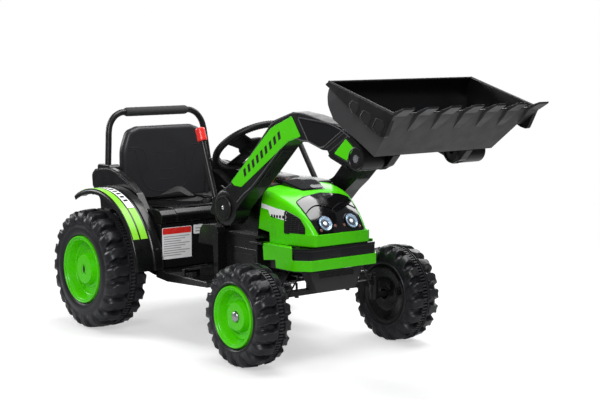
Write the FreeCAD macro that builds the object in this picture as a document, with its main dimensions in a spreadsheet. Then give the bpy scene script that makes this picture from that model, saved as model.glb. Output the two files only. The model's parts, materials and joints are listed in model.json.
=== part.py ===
import FreeCAD, Part
import math
import os

import Sketcher
from FreeCAD import Placement, Rotation, Vector

# Ride-on toy front loader. +X forward, +Y to the rider's left, +Z up, millimetres.
# The origin is on the floor, below the middle of the machine's length and width.
# Outlines give X as the distance ahead of the rear axle, and Z as the height above the floor.

doc = FreeCAD.newDocument("toy_front_loader")
sheet = doc.addObject("Spreadsheet::Sheet", "Sheet")

DIMENSIONS = {
    "rear_axle_x": -510, "wheelbase": 650, "axle_radius": 6, "running_gap": 0.05, "wall": 4,
    "rear_tyre_radius": 165, "rear_tyre_half_width": 62, "rear_track_half": 275, "rear_rim_radius": 94,
    "front_tyre_radius": 128, "front_tyre_half_width": 50, "front_track_half": 247, "front_rim_radius": 76,
    "fender_radius": 220, "fender_inner_y": 210, "fender_outer_y": 292,
    "body_half_width": 205, "seat_box_front": 205, "seat_box_top": 300, "floor_top": 172,
    "tower_half_width": 120, "tower_base_half_width": 138, "tower_top": 420,
    "bonnet_half_width": 120, "bonnet_nose_half_width": 86, "bonnet_foot": 287,
    "bumper_half_width": 136, "bumper_front": 726, "bumper_foot": 228,
    "seat_half_width": 145, "seat_back_x": -84,
    "steering_x": 345, "steering_z": 510, "steering_radius": 103, "grip_radius": 10,
    "column_radius": 8, "kingpin_y": 168, "kingpin_radius": 6, "steering_arm": 46, "crank_reach": 30,
    "arm_inner_y": 144, "arm_outer_y": 194, "arm_pivot_x": 483, "arm_pivot_z": 373, "shaft_radius": 8,
    "bucket_pivot_x": 991, "bucket_pivot_z": 533, "bucket_pin_radius": 6,
    "bucket_half_width": 224, "bucket_foot_half_width": 188, "bucket_wall": 5,
    "tooth_count": 7, "tooth_width": 38,
    "lever_radius": 7.5, "lever_right_y": 132, "lever_left_y": 136,
    "lever_pivot_x": 391, "lever_pivot_z": 290,
    "roll_bar_radius": 9, "roll_bar_half_width": 178, "foam_radius": 13.5,
}


class Size:
    """A length together with the sheet formula that gives it."""

    def __init__(self, value, formula, bound):
        self.value = value
        self.formula = formula
        self.bound = bound

    def joined(self, sign, other, value):
        formula = "(%s %s %s)" % (self.formula, sign, other.formula)
        return Size(value, formula, self.bound or other.bound)

    def __add__(self, other):
        return self.joined("+", sized(other), self.value + sized(other).value)

    def __sub__(self, other):
        return self.joined("-", sized(other), self.value - sized(other).value)

    def __mul__(self, other):
        return self.joined("*", sized(other), self.value * sized(other).value)

    def __truediv__(self, other):
        return self.joined("/", sized(other), self.value / sized(other).value)

    def __radd__(self, other):
        return sized(other) + self

    def __rsub__(self, other):
        return sized(other) - self

    def __rmul__(self, other):
        return sized(other) * self

    def __neg__(self):
        return sized(0) - self

    def __float__(self):
        return self.value


def sized(number):
    """Any plain number as a Size that no sheet cell drives."""
    if isinstance(number, Size):
        return number
    return Size(float(number), "(%r)" % float(number), False)


def fill_sheet():
    """One labelled row for each driving dimension."""
    for row, (alias, value) in enumerate(DIMENSIONS.items(), start=1):
        sheet.set("A%d" % row, alias)
        sheet.set("B%d" % row, str(value))
        sheet.setAlias("B%d" % row, alias)
    doc.recompute()


fill_sheet()


class Cells:
    """cells.NAME is the sheet's value of NAME, with its formula."""

    def __getattr__(self, alias):
        return Size(float(sheet.get(alias)), "Sheet." + alias, True)


cells = Cells()
PARTS = {}


def keep(node, feature):
    """Name a finished sub-part. The name is also the name of its file."""
    feature.Label = node
    PARTS[node] = feature
    return feature


def bind(feature, prop, number):
    size = sized(number)
    if size.bound:
        feature.setExpression(prop, size.formula)
    else:
        setattr(feature, prop, size.value)


def place(feature, spot, rotation=Rotation()):
    """Put a feature at (ahead of the rear axle, left, up), with its place bound to the sheet."""
    spot = (cells.rear_axle_x + spot[0], sized(spot[1]), sized(spot[2]))
    feature.Placement = Placement(Vector(*[float(number) for number in spot]), rotation)
    for letter, size in zip("xyz", spot):
        if size.bound:
            feature.setExpression("Placement.Base." + letter, size.formula)


def block(name, x_range, y_range, z_range):
    """A box between two distances along each direction."""
    box = doc.addObject("Part::Box", name)
    for prop, (low, high) in zip(("Length", "Width", "Height"), (x_range, y_range, z_range)):
        bind(box, prop, sized(high) - sized(low))
    place(box, (x_range[0], y_range[0], z_range[0]))
    return box


AXES = {"x": Vector(1, 0, 0), "y": Vector(0, 1, 0), "z": Vector(0, 0, 1)}


def rod(name, start, direction, length, radius, top_radius=None):
    """A round bar, or a cone, from start along a direction."""
    kind = "Part::Cylinder" if top_radius is None else "Part::Cone"
    bar = doc.addObject(kind, name)
    bind(bar, "Height", length)
    if top_radius is None:
        bind(bar, "Radius", radius)
    else:
        bind(bar, "Radius1", radius)
        bind(bar, "Radius2", top_radius)
    axis = AXES[direction] if direction in AXES else Vector(*direction)
    place(bar, start, Rotation(Vector(0, 0, 1), axis))
    return bar


def side_rod(name, spot, side, y_range, radius):
    """A round bar along Y on one side, between two distances from the middle plane."""
    low, high = y_range if side > 0 else (-sized(y_range[1]), -sized(y_range[0]))
    return rod(name, (spot[0], low, spot[1]), "y", sized(high) - sized(low), radius)


def fuse(name, *shapes):
    joined = doc.addObject("Part::MultiFuse", name)
    joined.Shapes = list(shapes)
    joined.Refine = True
    return joined


def cut(name, base, *tools):
    for number, tool in enumerate(tools):
        result = doc.addObject("Part::Cut", "%s_cut_%d" % (name, number))
        result.Base = base
        result.Tool = tool
        base = result
    return base


def common(name, *shapes):
    result = doc.addObject("Part::MultiCommon", name)
    result.Shapes = list(shapes)
    return result


def origin_plane(body, role):
    return [plane for plane in body.Origin.OriginFeatures if plane.Role == role][0]


def sketch_outline(body, name, role, outline, offset):
    """A closed outline on one of the body's own planes, each corner held from the origin."""
    sketch = body.newObject("Sketcher::SketchObject", name)
    sketch.AttachmentSupport = [(origin_plane(body, role), "")]
    sketch.MapMode = "FlatFace"
    offset = sized(offset)
    sketch.AttachmentOffset = Placement(Vector(0, 0, offset.value), Rotation())
    if offset.bound:
        sketch.setExpression("AttachmentOffset.Base.z", offset.formula)
    corners = [(sized(across), sized(up)) for across, up in outline]
    for number, corner in enumerate(corners):
        following = corners[(number + 1) % len(corners)]
        start = Vector(corner[0].value, corner[1].value, 0)
        end = Vector(following[0].value, following[1].value, 0)
        sketch.addGeometry(Part.LineSegment(start, end), False)
    for number in range(len(corners)):
        sketch.addConstraint(Sketcher.Constraint("Coincident", number, 2, (number + 1) % len(corners), 1))
    for number, corner in enumerate(corners):
        for kind, size in zip(("DistanceX", "DistanceY"), corner):
            place_in_list = sketch.addConstraint(Sketcher.Constraint(kind, -1, 1, number, 1, size.value))
            if size.bound:
                sketch.setExpression("Constraints[%d]" % place_in_list, size.formula)
    return sketch


def new_body(name, spot=(0, 0, 0), rotation=Rotation()):
    body = doc.addObject("PartDesign::Body", name)
    place(body, spot, rotation)
    return body


def pad(name, role, outline, low, high, spot=(0, 0, 0), rotation=Rotation()):
    """A body with one outline padded from low to high: along Y for XZ, X for YZ and Z for XY."""
    body = new_body(name, spot, rotation)
    offset = -sized(high) if role == "XZ_Plane" else low
    feature = body.newObject("PartDesign::Pad", name + "_pad")
    feature.Profile = sketch_outline(body, name + "_outline", role, outline, offset)
    bind(feature, "Length", sized(high) - sized(low))
    return body


def side_pad(name, outline, low, high, spot=(0, 0, 0), rotation=Rotation()):
    return pad(name, "XZ_Plane", outline, low, high, spot, rotation)


def round_edges(body, radius, chosen):
    """Fillet the edges of a body's last feature that the test chooses."""
    doc.recompute()
    tip = body.Tip
    names = ["Edge%d" % number for number, edge in enumerate(tip.Shape.Edges, 1) if chosen(edge)]
    fillet = body.newObject("PartDesign::Fillet", body.Name + "_fillet")
    fillet.Base = (tip, names)
    fillet.Radius = radius
    return body


def along(direction):
    """A test for straight edges that run along a direction."""

    def chosen(edge):
        span = edge.lastVertex().Point - edge.firstVertex().Point
        return span.Length > 1 and abs(abs(span.dot(direction)) - span.Length) < 1e-4

    return chosen


def lathe(name, outline, spot):
    """A body turned about its own Y axis, from an outline of (along Y, radius) points."""
    body = new_body(name, spot)
    feature = body.newObject("PartDesign::Revolution", name + "_turn")
    feature.Profile = sketch_outline(body, name + "_outline", "YZ_Plane", outline, 0)
    feature.ReferenceAxis = (feature.Profile[0], ["H_Axis"])
    feature.Angle = 360
    return body


def wire_tube(name, points, radius, tube_radius):
    """A tube along straight runs joined by tangent arcs of one radius."""
    edges = []
    start = points[0]
    for before, corner, after in zip(points, points[1:], points[2:]):
        back = (before - corner).normalize()
        ahead = (after - corner).normalize()
        half = back.getAngle(ahead) / 2
        reach = radius / math.tan(half)
        middle = corner + (back + ahead).normalize() * (radius / math.sin(half) - radius)
        first = corner + back * reach
        last = corner + ahead * reach
        edges.append(Part.LineSegment(start, first).toShape())
        edges.append(Part.Arc(first, middle, last).toShape())
        start = last
    edges.append(Part.LineSegment(start, points[-1]).toShape())
    section = Part.Wire(Part.Circle(points[0], points[1] - points[0], tube_radius).toShape())
    tube = doc.addObject("Part::Feature", name)
    tube.Shape = Part.Wire(edges).makePipeShell([section], True, True)
    place(tube, (0, 0, 0))
    return tube


SIDES = {"right": -1, "left": 1}


# ---------------------------------------------------------------- wheels

def tyre_outline(radius, half, rim):
    """Half section of a hollow tyre, open towards the rim."""
    shoulder = half - 15
    return [
        (-half, rim), (-half, radius - 26), (-shoulder, radius), (shoulder, radius), (half, radius - 26),
        (half, rim), (half - 6, rim), (half - 6, radius - 32), (shoulder - 4, radius - 20),
        (4 - shoulder, radius - 20), (6 - half, radius - 32), (6 - half, rim),
    ]


def groove(body, name, radius, y_range, turn, count):
    """One trapezoid groove across a tyre's tread, repeated round it."""
    low, high = y_range
    outline = [(-6, radius - 13), (6, radius - 13), (11, radius + 5), (-11, radius + 5)]
    pocket = body.newObject("PartDesign::Pocket", name)
    pocket.Profile = sketch_outline(body, name + "_outline", "XZ_Plane", outline, -sized(low))
    pocket.Profile[0].AttachmentOffset = Placement(
        Vector(0, 0, -float(low)), Rotation(Vector(0, 0, 1), turn)
    )
    pocket.Length = float(high) - float(low)
    doc.recompute()
    pattern = body.newObject("PartDesign::PolarPattern", name + "_pattern")
    pattern.Originals = [pocket]
    pattern.Axis = (pocket.Profile[0], ["N_Axis"])
    pattern.Angle = 360
    pattern.Occurrences = count
    body.Tip = pattern
    doc.recompute()


def rim_outline(sign, radius, half, hub, bore):
    """Half section of a dished rim with a raised hub, its face towards sign."""
    points = [
        (half - 1, radius), (half - 1, radius - 5), (half - 22, radius - 12), (half - 22, hub + 7),
        (half - 8, hub), (half - 8, bore), (14 - half, bore), (14 - half, bore + 6), (half - 12, bore + 6),
        (half - 12, hub - 2), (half - 26, hub + 6), (half - 26, radius - 4), (4 - half, radius - 4),
        (4 - half, radius),
    ]
    return [(sign * along_axle, out) for along_axle, out in points]


def make_wheel(axle, side, x, lug_count, hub):
    sign = SIDES[side]
    cell = {part: getattr(cells, "%s_%s" % (axle, part)) for part in
            ("tyre_radius", "tyre_half_width", "rim_radius", "track_half")}
    radius, half, rim = cell["tyre_radius"], cell["tyre_half_width"], cell["rim_radius"]
    spot = (x, sign * cell["track_half"], radius)
    tyre = lathe("%s_tyre_%s" % (axle, side), tyre_outline(radius, half, rim + 0.2), spot)
    outer = (4, half + 1) if sign > 0 else (-half - 1, -4)
    inner = (-half - 1, -4) if sign > 0 else (4, half + 1)
    doc.recompute()
    groove(tyre, tyre.Name + "_outer_groove", radius, outer, 0, lug_count)
    groove(tyre, tyre.Name + "_inner_groove", radius, inner, 180 / lug_count, lug_count)
    keep(tyre.Name, tyre)
    bore = cells.axle_radius + cells.running_gap
    rim_body = lathe("%s_rim_%s" % (axle, side), rim_outline(sign, rim, half, hub, bore), spot)
    keep(rim_body.Name, rim_body)


def make_rear_axle():
    reach = cells.rear_track_half + cells.rear_tyre_half_width - 12
    shaft = rod("rear_axle", (0, -reach, cells.rear_tyre_radius), "y", reach * 2, cells.axle_radius)
    keep("rear_axle", shaft)
    washers = []
    for side, sign in SIDES.items():
        spot = (0, cells.rear_tyre_radius)
        ring = side_rod("washer_" + side, spot, sign, (223, 225.5), 13)
        hole = side_rod("washer_hole_" + side, spot, sign, (222, 227), cells.axle_radius + 0.2)
        washers.append(cut("washer_%s" % side, ring, hole))
    keep("rear_axle_washers", fuse("rear_washers", *washers))


def make_drive(side):
    """Gearbox round the rear axle, with its motor pointing inwards."""
    sign = SIDES[side]
    y_range = (152, 200) if sign > 0 else (-200, -152)
    outline = [(-34, 140), (20, 132), (78, 168), (78, 212), (40, 222), (-34, 200)]
    case = side_pad("gearbox_case_" + side, outline, *y_range)
    round_edges(case, 12, along(Vector(0, 1, 0)))
    spot = (0, cells.rear_tyre_radius)
    neck = side_rod("gearbox_neck_" + side, spot, sign, (199, 222), 17)
    hole = side_rod("gearbox_hole_" + side, spot, sign, (140, 230), cells.axle_radius + 0.2)
    joined = fuse("gearbox_body_" + side, case, neck)
    can = side_rod("motor_can_" + side, (50, 190), sign, (95, 152), 18)
    tail = side_rod("motor_tail_" + side, (50, 190), sign, (88, 95), 6)
    keep("drive_unit_" + side, fuse("drive_" + side, cut("gearbox_" + side, joined, hole), can, tail))


# ---------------------------------------------------------------- body

def shell_box(name, x_range, y_range, z_range, wall):
    """A box-shaped housing, open below."""
    outer = block(name + "_outer", x_range, y_range, z_range)
    inside = [(sized(low) + wall, sized(high) - wall) for low, high in (x_range, y_range)]
    inner = block(name + "_inner", inside[0], inside[1], (z_range[0] - 1, z_range[1] - wall))
    return cut(name, outer, inner)


def make_seat_box():
    half = cells.body_half_width
    length = (-106, cells.seat_box_front)
    box = shell_box("seat_box", length, (-half, half), (180, cells.seat_box_top), cells.wall)
    slots = []
    for side, sign in SIDES.items():
        y_range = (195, 215) if sign > 0 else (-215, -195)
        slots.append(block("axle_slot_" + side, (-20, 20), y_range, (179, 190)))
    keep("seat_box", cut("seat_box_open", box, *slots))


def make_floor_pan():
    """The tray that carries everything: a tunnel floor, with a footboard each side of the tower."""
    top = cells.floor_top
    keel = [(-106, top + 7.8), (-106, top + 1), (60, top + 1), (126, 158), (234, 150), (400, 158), (520, 166),
            (520, top), (240, top), (196, top + 7.8)]
    tray = side_pad("pan_keel", keel, -138, 138)
    boards = []
    step = [(126, 168), (165, 160), (197, 157), (197, top + 7.8), (126, top + 7.8)]
    board = [(196, 157), (250, 152), (433, 161), (433, top), (240, top), (196, top + 7.8)]
    for side, sign in SIDES.items():
        for name, outline, reach in (("step", step, 205), ("footboard", board, 215)):
            low, high = (137, reach) if sign > 0 else (-reach, -137)
            boards.append(side_pad("%s_%s" % (name, side), outline, low, high))
    joined = fuse("pan_joined", tray, *boards)
    arches = []
    for side, sign in SIDES.items():
        y_range = (50, 148) if sign > 0 else (-148, -50)
        arches.append(block("drive_window_" + side, (-38, 82), y_range, (140, 185)))
    keep("floor_pan", cut("floor_pan", joined, *arches))


def make_fender(side):
    """A curved mudguard over a rear wheel, from behind its top to low in front of it."""
    sign = SIDES[side]
    outer, skin = cells.fender_radius, 5
    centre = (0, cells.rear_tyre_radius)
    y_range = (cells.fender_inner_y, cells.fender_outer_y)
    drum = side_rod("fender_drum_" + side, centre, sign, y_range, outer)
    hollow = side_rod("fender_hollow_" + side, centre, sign, (200, 300), outer - skin)
    ring = cut("fender_ring_" + side, drum, hollow)
    kept = [(-112, 358), (-112, 400), (240, 400), (240, 181), (150, 181), (0, 165)]
    low, high = (200, 300) if sign > 0 else (-300, -200)
    arc = side_pad("fender_kept_" + side, kept, low, high)
    keep("fender_" + side, common("fender_" + side, ring, arc))


def make_armrest(side):
    """The raised side cover between seat and fender, which carries the roll bar's foot."""
    sign = SIDES[side]
    low, high = (187, 207) if sign > 0 else (-207, -187)
    ridge = [(-98, 300.2), (-104, 344), (-144, 376), (-147, 411), (-130, 426), (-57, 434), (-14, 427),
             (7, 418), (46, 404), (95, 378), (128, 335), (136, 300.2)]
    edge = side_pad("armrest_ridge_" + side, ridge, low, high)
    round_edges(edge, 8, along(Vector(0, 1, 0)))
    low, high = (158, 188) if sign > 0 else (-188, -158)
    shelf = [(-98, 300.2), (-104, 344), (-140, 373), (-140, 404), (-65, 407), (-26, 393), (25, 366),
             (70, 340), (128, 320), (136, 300.2)]
    cover = side_pad("armrest_shelf_" + side, shelf, low, high)
    low, high = (160, 196) if sign > 0 else (-196, -160)
    stand = block("armrest_stand_" + side, (-134, -68), (low, high), (400, 441))
    joined = fuse("armrest_joined_" + side, edge, cover, stand)
    foot, lean = roll_bar_leg(sign)
    socket = rod("armrest_socket_" + side, foot, lean, 60, cells.roll_bar_radius + 0.1)
    keep("armrest_" + side, cut("armrest_" + side, joined, socket))


def roll_bar_leg(sign):
    """Where a leg of the roll bar starts inside its side cover, and the way it leans."""
    half = float(cells.roll_bar_half_width)
    return (-106, sign * half, 412), (-18, -sign * 18, 174)


def make_roll_bar():
    ends = [roll_bar_leg(sign) for sign in (1, -1)]
    corners = [Vector(*foot) + Vector(*lean) for foot, lean in ends]
    points = [Vector(*ends[0][0]), corners[0], corners[1], Vector(*ends[1][0])]
    keep("roll_bar", wire_tube("roll_bar", points, 55, float(cells.roll_bar_radius)))
    grip = rod("foam_outer", (-124, -106, 586), "y", 212, cells.foam_radius)
    hole = rod("foam_hole", (-124, -107, 586), "y", 214, cells.roll_bar_radius + 0.05)
    keep("foam_grip", cut("foam_grip", grip, hole))


def make_seat():
    half = cells.seat_half_width
    back = cells.seat_back_x
    front_view = [(-half, 330), (-half, 480), (-half + 19, 534), (-98, 547), (98, 547), (half - 19, 534),
                  (half, 480), (half, 330)]
    shell = pad("seat_back", "YZ_Plane", front_view, back - 22, back + 12)
    round_edges(shell, 9, along(Vector(0, 1, 0)))
    keep("seat_back", shell)
    cushion = [(back - 22, 300.2), (back - 22, 329.5), (-40, 329.5), (60, 333), (180, 344), (200, 340),
               (212, 326), (212, 308), (204, 300.2)]
    pan = side_pad("seat_cushion", cushion, -156, 156)
    round_edges(pan, 6, along(Vector(0, 1, 0)))
    wings = []
    for side, sign in SIDES.items():
        low, high = (156, 205) if sign > 0 else (-205, -156)
        wing = [(142, 300.2), (142, 336), (180, 342), (200, 338), (212, 326), (212, 308), (204, 300.2)]
        wings.append(side_pad("seat_wing_" + side, wing, low, high))
    keep("seat_cushion", fuse("seat_cushion", pan, *wings))


def make_seat_belt():
    """Two lap straps lying on the seat, and their buckle."""
    route = [(-30, 150), (20, 100), (70, 60), (110, 10), (96, -50), (70, -110), (40, -150)]
    left = [(x, y) for x, y in route]
    right = [(x + 18, y - 6) for x, y in reversed(route)]
    strap = pad("seat_belt", "XY_Plane", left + right, 346, 349)
    keep("seat_belt", strap)
    keep("belt_buckle", block("belt_buckle", (86, 134), (-16, 16), (350, 362)))


def make_tower():
    """The dash pedestal: a hollow column with the loader shaft's bearings at its sides."""
    half, base = cells.tower_half_width, cells.tower_base_half_width
    wall = cells.wall
    upper = [(414, 300), (404, 330), (404, cells.tower_top), (541, cells.tower_top), (526, 318), (526, 300)]
    lower = [(414, cells.floor_top + 0.2), (414, 301), (526, 301), (546, 288), (546, cells.floor_top + 0.2)]
    inner_upper = [(420, 290), (410, 330), (410, cells.tower_top - wall), (535, cells.tower_top - wall),
                   (520, 318), (520, 290)]
    inner_lower = [(420, 160), (420, 296), (524, 296), (540, 285), (540, 160)]
    outer = fuse("tower_outer", side_pad("tower_upper", upper, -half, half),
                 side_pad("tower_lower", lower, -base, base))
    inner = fuse("tower_inner", side_pad("tower_hollow_upper", inner_upper, wall - half, half - wall),
                 side_pad("tower_hollow_lower", inner_lower, wall - base, base - wall))
    shell = cut("tower_shell", outer, inner)
    pivot = (cells.arm_pivot_x, cells.arm_pivot_z)
    bosses = [side_rod("tower_boss_" + side, pivot, sign, (half - 12, 127), 20)
              for side, sign in SIDES.items()]
    bore_radius = cells.shaft_radius + cells.running_gap
    bore = rod("tower_bore", (pivot[0], -130, pivot[1]), "y", 260, bore_radius)
    well = column_rod("tower_column_well", 60, 420, 12)
    window = block("tie_rod_window", (510, 560), (-45, 45), (172, 240))
    whole = fuse("tower_with_bosses", shell, *bosses)
    keep("front_tower", cut("front_tower", whole, bore, well, window))


def make_consoles():
    """Moulded blocks beside the footwell; the right one guides the bucket lever."""
    outline = [(325, 262), (333, 301), (345, 313), (394, 317), (406, 312), (413.7, 299),
               (413.7, 172.2), (396, 172.2), (392, 262)]
    blocks = []
    for side, sign in SIDES.items():
        low, high = (104, 166) if sign > 0 else (-166, -104)
        console = side_pad("console_block_" + side, outline, low, high)
        blocks.append(round_edges(console, 5, along(Vector(0, 1, 0))))
    lever = cells.lever_right_y
    slot = block("lever_slot", (355, 409), (-lever - 10, -lever + 10), (266, 330))
    pin_hole = rod("lever_pin_hole", (cells.lever_pivot_x, -168, cells.lever_pivot_z), "y", 70, 4.05)
    keep("side_consoles", cut("side_consoles", fuse("console_blocks", *blocks), slot, pin_hole))


def make_dashboard():
    foot = cells.tower_top + 0.3
    shelf = [(398, foot), (398, 425), (404, 429), (440, 432), (536, 428.5), (541, 426), (541, foot)]
    cowl = [(399, foot), (399, 430), (408, 441), (440, 446), (500, 442), (524, 429), (524, foot)]
    panel = fuse("dashboard_panel", side_pad("dashboard_shelf", shelf, -112, 112),
                 side_pad("dashboard_cowl", cowl, -34, 34))
    slope = (0.104, 0, 1)
    well = column_rod("dashboard_column_well", 60, 420, 12)
    button_hole = rod("button_hole", (468, -78, 421.5), slope, 30, 9.3)
    rocker_pocket = block("rocker_pocket", (460.5, 487.5), (-53, -35), (423.5, 460))
    keep("dashboard", cut("dashboard", panel, well, button_hole, rocker_pocket))
    keep("start_button", rod("start_button_knob", (468.4, -78, 425.5), slope, 15, 9))
    keep("direction_rocker", block("rocker_key", (462, 486), (-52, -36), (429.5, 439.5)))


def bonnet_solid(name, shrink, foot):
    """The bonnet's outer form, or the same form drawn in by a wall thickness."""
    half = cells.bonnet_half_width - shrink
    nose = cells.bonnet_nose_half_width - shrink
    side_view = [(520, foot), (520, 424 - shrink), (600, 416 - shrink), (650 - shrink, 394 - shrink),
                 (690 - shrink, 358 - shrink), (712 - shrink, 322), (718 - shrink, foot)]
    plan = [(510, -half), (602, -half), (719 - shrink, -nose), (719 - shrink, nose), (602, half), (510, half)]
    profile = side_pad(name + "_side", side_view, -125, 125)
    footprint = pad(name + "_plan", "XY_Plane", plan, foot - 1, 440)
    return common(name, profile, footprint)


def make_bonnet():
    outer = bonnet_solid("bonnet_outer", 0, cells.bonnet_foot)
    inner = bonnet_solid("bonnet_inner", 4, 270)
    notch_view = [(500, 270), (500, 330), (526.5, 330), (526.5, 318.5), (571, 313), (571, 270)]
    notch = side_pad("bonnet_notch", notch_view, -130, 130)
    tower_view = [(500, 300), (500, 430), (543.5, 430), (526.5, 318)]
    tower_space = side_pad("bonnet_tower_space", tower_view, -130, 130)
    keep("bonnet", cut("bonnet", outer, inner, notch, tower_space))
    window = [(548, 424.2), (548, 427), (600, 421), (600, 416.5)]
    keep("bonnet_window", side_pad("bonnet_window", window, -50, 50))
    mask = [(630, 404), (633, 406), (652, 396.5), (693, 359), (715, 322), (712.5, 322), (690.3, 358.3),
            (650.3, 394.3)]
    keep("headlight_mask", side_pad("headlight_mask", mask, -72, 72))
    lenses = []
    vents = []
    grille = [(612, 315), (612, 372), (640, 360), (660, 334), (664, 315)]
    for side, sign in SIDES.items():
        lenses.append(rod("lens_" + side, (702.6, sign * 43, 345), (0.86, 0, 0.51), 7, 21))
        low, high = (119, 122) if sign > 0 else (-122, -119)
        vents.append(side_pad("vent_" + side, grille, low, high))
    keep("headlight_lenses", fuse("headlight_lenses", *lenses))
    keep("side_vents", fuse("side_vents", *vents))


def make_front_frame():
    """The black box below the bonnet, which holds the front axle beam."""
    frame = block("frame_outer", (546.5, 684), (-116, 116), (222, 286))
    hollow = block("frame_hollow", (551.5, 679), (-111, 111), (200, 281))
    keep("front_frame", cut("front_frame", frame, hollow, column_rod("frame_column_well", 250, 200, 13)))
    half, front, foot = cells.bumper_half_width, cells.bumper_front, cells.bumper_foot
    plan = [(548, -half), (690, -half), (front, -108), (front, 108), (690, half), (548, half)]
    inside = [(540, 6 - half), (688, 6 - half), (front - 6, -104), (front - 6, 104), (688, half - 6),
              (540, half - 6)]
    shell = cut("bumper_shell", pad("bumper_outer", "XY_Plane", plan, foot, 286.7),
                pad("bumper_inner", "XY_Plane", inside, 220, 300))
    slot = block("bumper_slot", (684, 740), (-127, 127), (256, 282))
    notch = [(540, 220), (540, 281), (565.5, 281), (569.5, 243), (617, 249), (619.5, 220)]
    heel = side_pad("bumper_heel", notch, -140, 140)
    keep("bumper", cut("bumper", shell, slot, heel))
    outside = [(686, -126), (front - 2, -103), (front - 2, 103), (686, 126)]
    inside = [(683, -120), (front - 6, -100), (front - 6, 100), (683, 120)]
    insert = pad("insert_outer", "XY_Plane", outside, 256.3, 281.7)
    hollow = pad("insert_inner", "XY_Plane", inside, 250, 290)
    keep("bumper_insert", cut("bumper_insert", insert, hollow))
    tray = [(-90, 221.7), (-63, 168), (63, 168), (90, 221.7)]
    inner = [(-87, 230), (-59, 173), (59, 173), (87, 230)]
    outer = pad("skid_outer", "YZ_Plane", tray, 661, 696)
    keep("skid_plate", cut("skid_plate", outer, pad("skid_inner", "YZ_Plane", inner, 650, 690)))


# ---------------------------------------------------------------- steering

STEERING_AXIS = Vector(0.6, 0, -0.8)


def column_rod(name, start, length, radius):
    """A bar on the steering axis, from a distance below the wheel's centre."""
    spot = (cells.steering_x + STEERING_AXIS.x * start, 0, cells.steering_z + STEERING_AXIS.z * start)
    return rod(name, spot, tuple(STEERING_AXIS), length, radius)


def make_steering():
    turn = Rotation(Vector(0, 0, 1), Vector(-0.6, 0, 0.8))
    ring = doc.addObject("Part::Torus", "wheel_ring")
    bind(ring, "Radius1", cells.steering_radius)
    bind(ring, "Radius2", cells.grip_radius)
    centre = (cells.steering_x, 0, cells.steering_z)
    place(ring, centre, turn)
    hub = cut("wheel_hub", column_rod("hub_disc", -6, 34, 38), column_rod("horn_recess", -7, 9, 30.4))
    spokes = []
    for name, low, high in (("across", (-14, -98), (14, 98)), ("down", (-98, -14), (0, 14))):
        outline = [low, (high[0], low[1]), high, (low[0], high[1])]
        spokes.append(pad("spoke_" + name, "XY_Plane", outline, -14, -4, centre, turn))
    boss = column_rod("wheel_boss", 20, 40, 16)
    socket = column_rod("wheel_socket", 30, 40, cells.column_radius)
    wheel = fuse("wheel_joined", ring, hub, *spokes, boss)
    keep("steering_wheel", cut("steering_wheel", wheel, socket))
    keep("horn_button", column_rod("horn_cap", -10, 8.6, 30))
    shaft = column_rod("column_shaft", 30.2, 352, cells.column_radius)
    crank = column_rod("crank_hub", 366, 14, 14)
    reach = cells.crank_reach
    end = (cells.steering_x + 0.6 * 373 - 0.8 * reach, 0, cells.steering_z - 0.8 * 373 - 0.6 * reach)
    web = doc.addObject("Part::Box", "crank_web")
    bind(web, "Length", reach)
    web.Width = 16
    web.Height = 8
    place(web, (end[0] - 3.2, -8, end[2] + 1.6), turn)
    pin = rod("crank_pin", (end[0] - 3, 0, end[2] + 4), tuple(STEERING_AXIS), 24, 4)
    keep("steering_column", fuse("steering_column", shaft, crank, web, pin))


def make_front_axle():
    axle_x = cells.wheelbase
    kingpin = cells.kingpin_y
    beam = block("beam_bar", (axle_x - 9, axle_x + 9), (-kingpin + 6, kingpin - 6), (158, 172))
    stem = block("beam_stem", (axle_x - 9, axle_x + 9), (-56, 56), (171, 281))
    bore_radius = cells.kingpin_radius + cells.running_gap
    sleeves = []
    bores = []
    for side, sign in SIDES.items():
        sleeves.append(rod("sleeve_" + side, (axle_x, sign * kingpin, 138), "z", 34, 11))
        bores.append(rod("kingpin_bore_" + side, (axle_x, sign * kingpin, 130), "z", 50, bore_radius))
    keep("front_axle_beam", cut("front_axle_beam", fuse("beam_joined", beam, stem, *sleeves), *bores))
    for side, sign in SIDES.items():
        pin = rod("kingpin_" + side, (axle_x, sign * kingpin, 122), "z", 66, cells.kingpin_radius)
        collar = rod("kingpin_collar_" + side, (axle_x, sign * kingpin, 118), "z", 19.7, 10)
        head = rod("kingpin_head_" + side, (axle_x, sign * kingpin, 172.3), "z", 8, 10)
        hub_centre = (axle_x, cells.front_tyre_radius)
        stub_reach = (kingpin - 4, cells.front_track_half + cells.front_tyre_half_width - 12)
        stub = side_rod("stub_" + side, hub_centre, sign, stub_reach, cells.axle_radius)
        shoulder_reach = (kingpin, cells.front_track_half - 39)
        shoulder = side_rod("stub_shoulder_" + side, hub_centre, sign, shoulder_reach, 9)
        arm_low, arm_high = (kingpin - 8, kingpin + 8) if sign > 0 else (-kingpin - 8, 8 - kingpin)
        arm_end = axle_x - cells.steering_arm
        arm = block("steering_arm_" + side, (arm_end - 8, axle_x), (arm_low, arm_high), (176, 182))
        stud = rod("arm_stud_" + side, (arm_end, sign * kingpin, 181), "z", 14, 3)
        keep("knuckle_" + side, fuse("knuckle_" + side, pin, collar, head, stub, shoulder, arm, stud))


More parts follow.
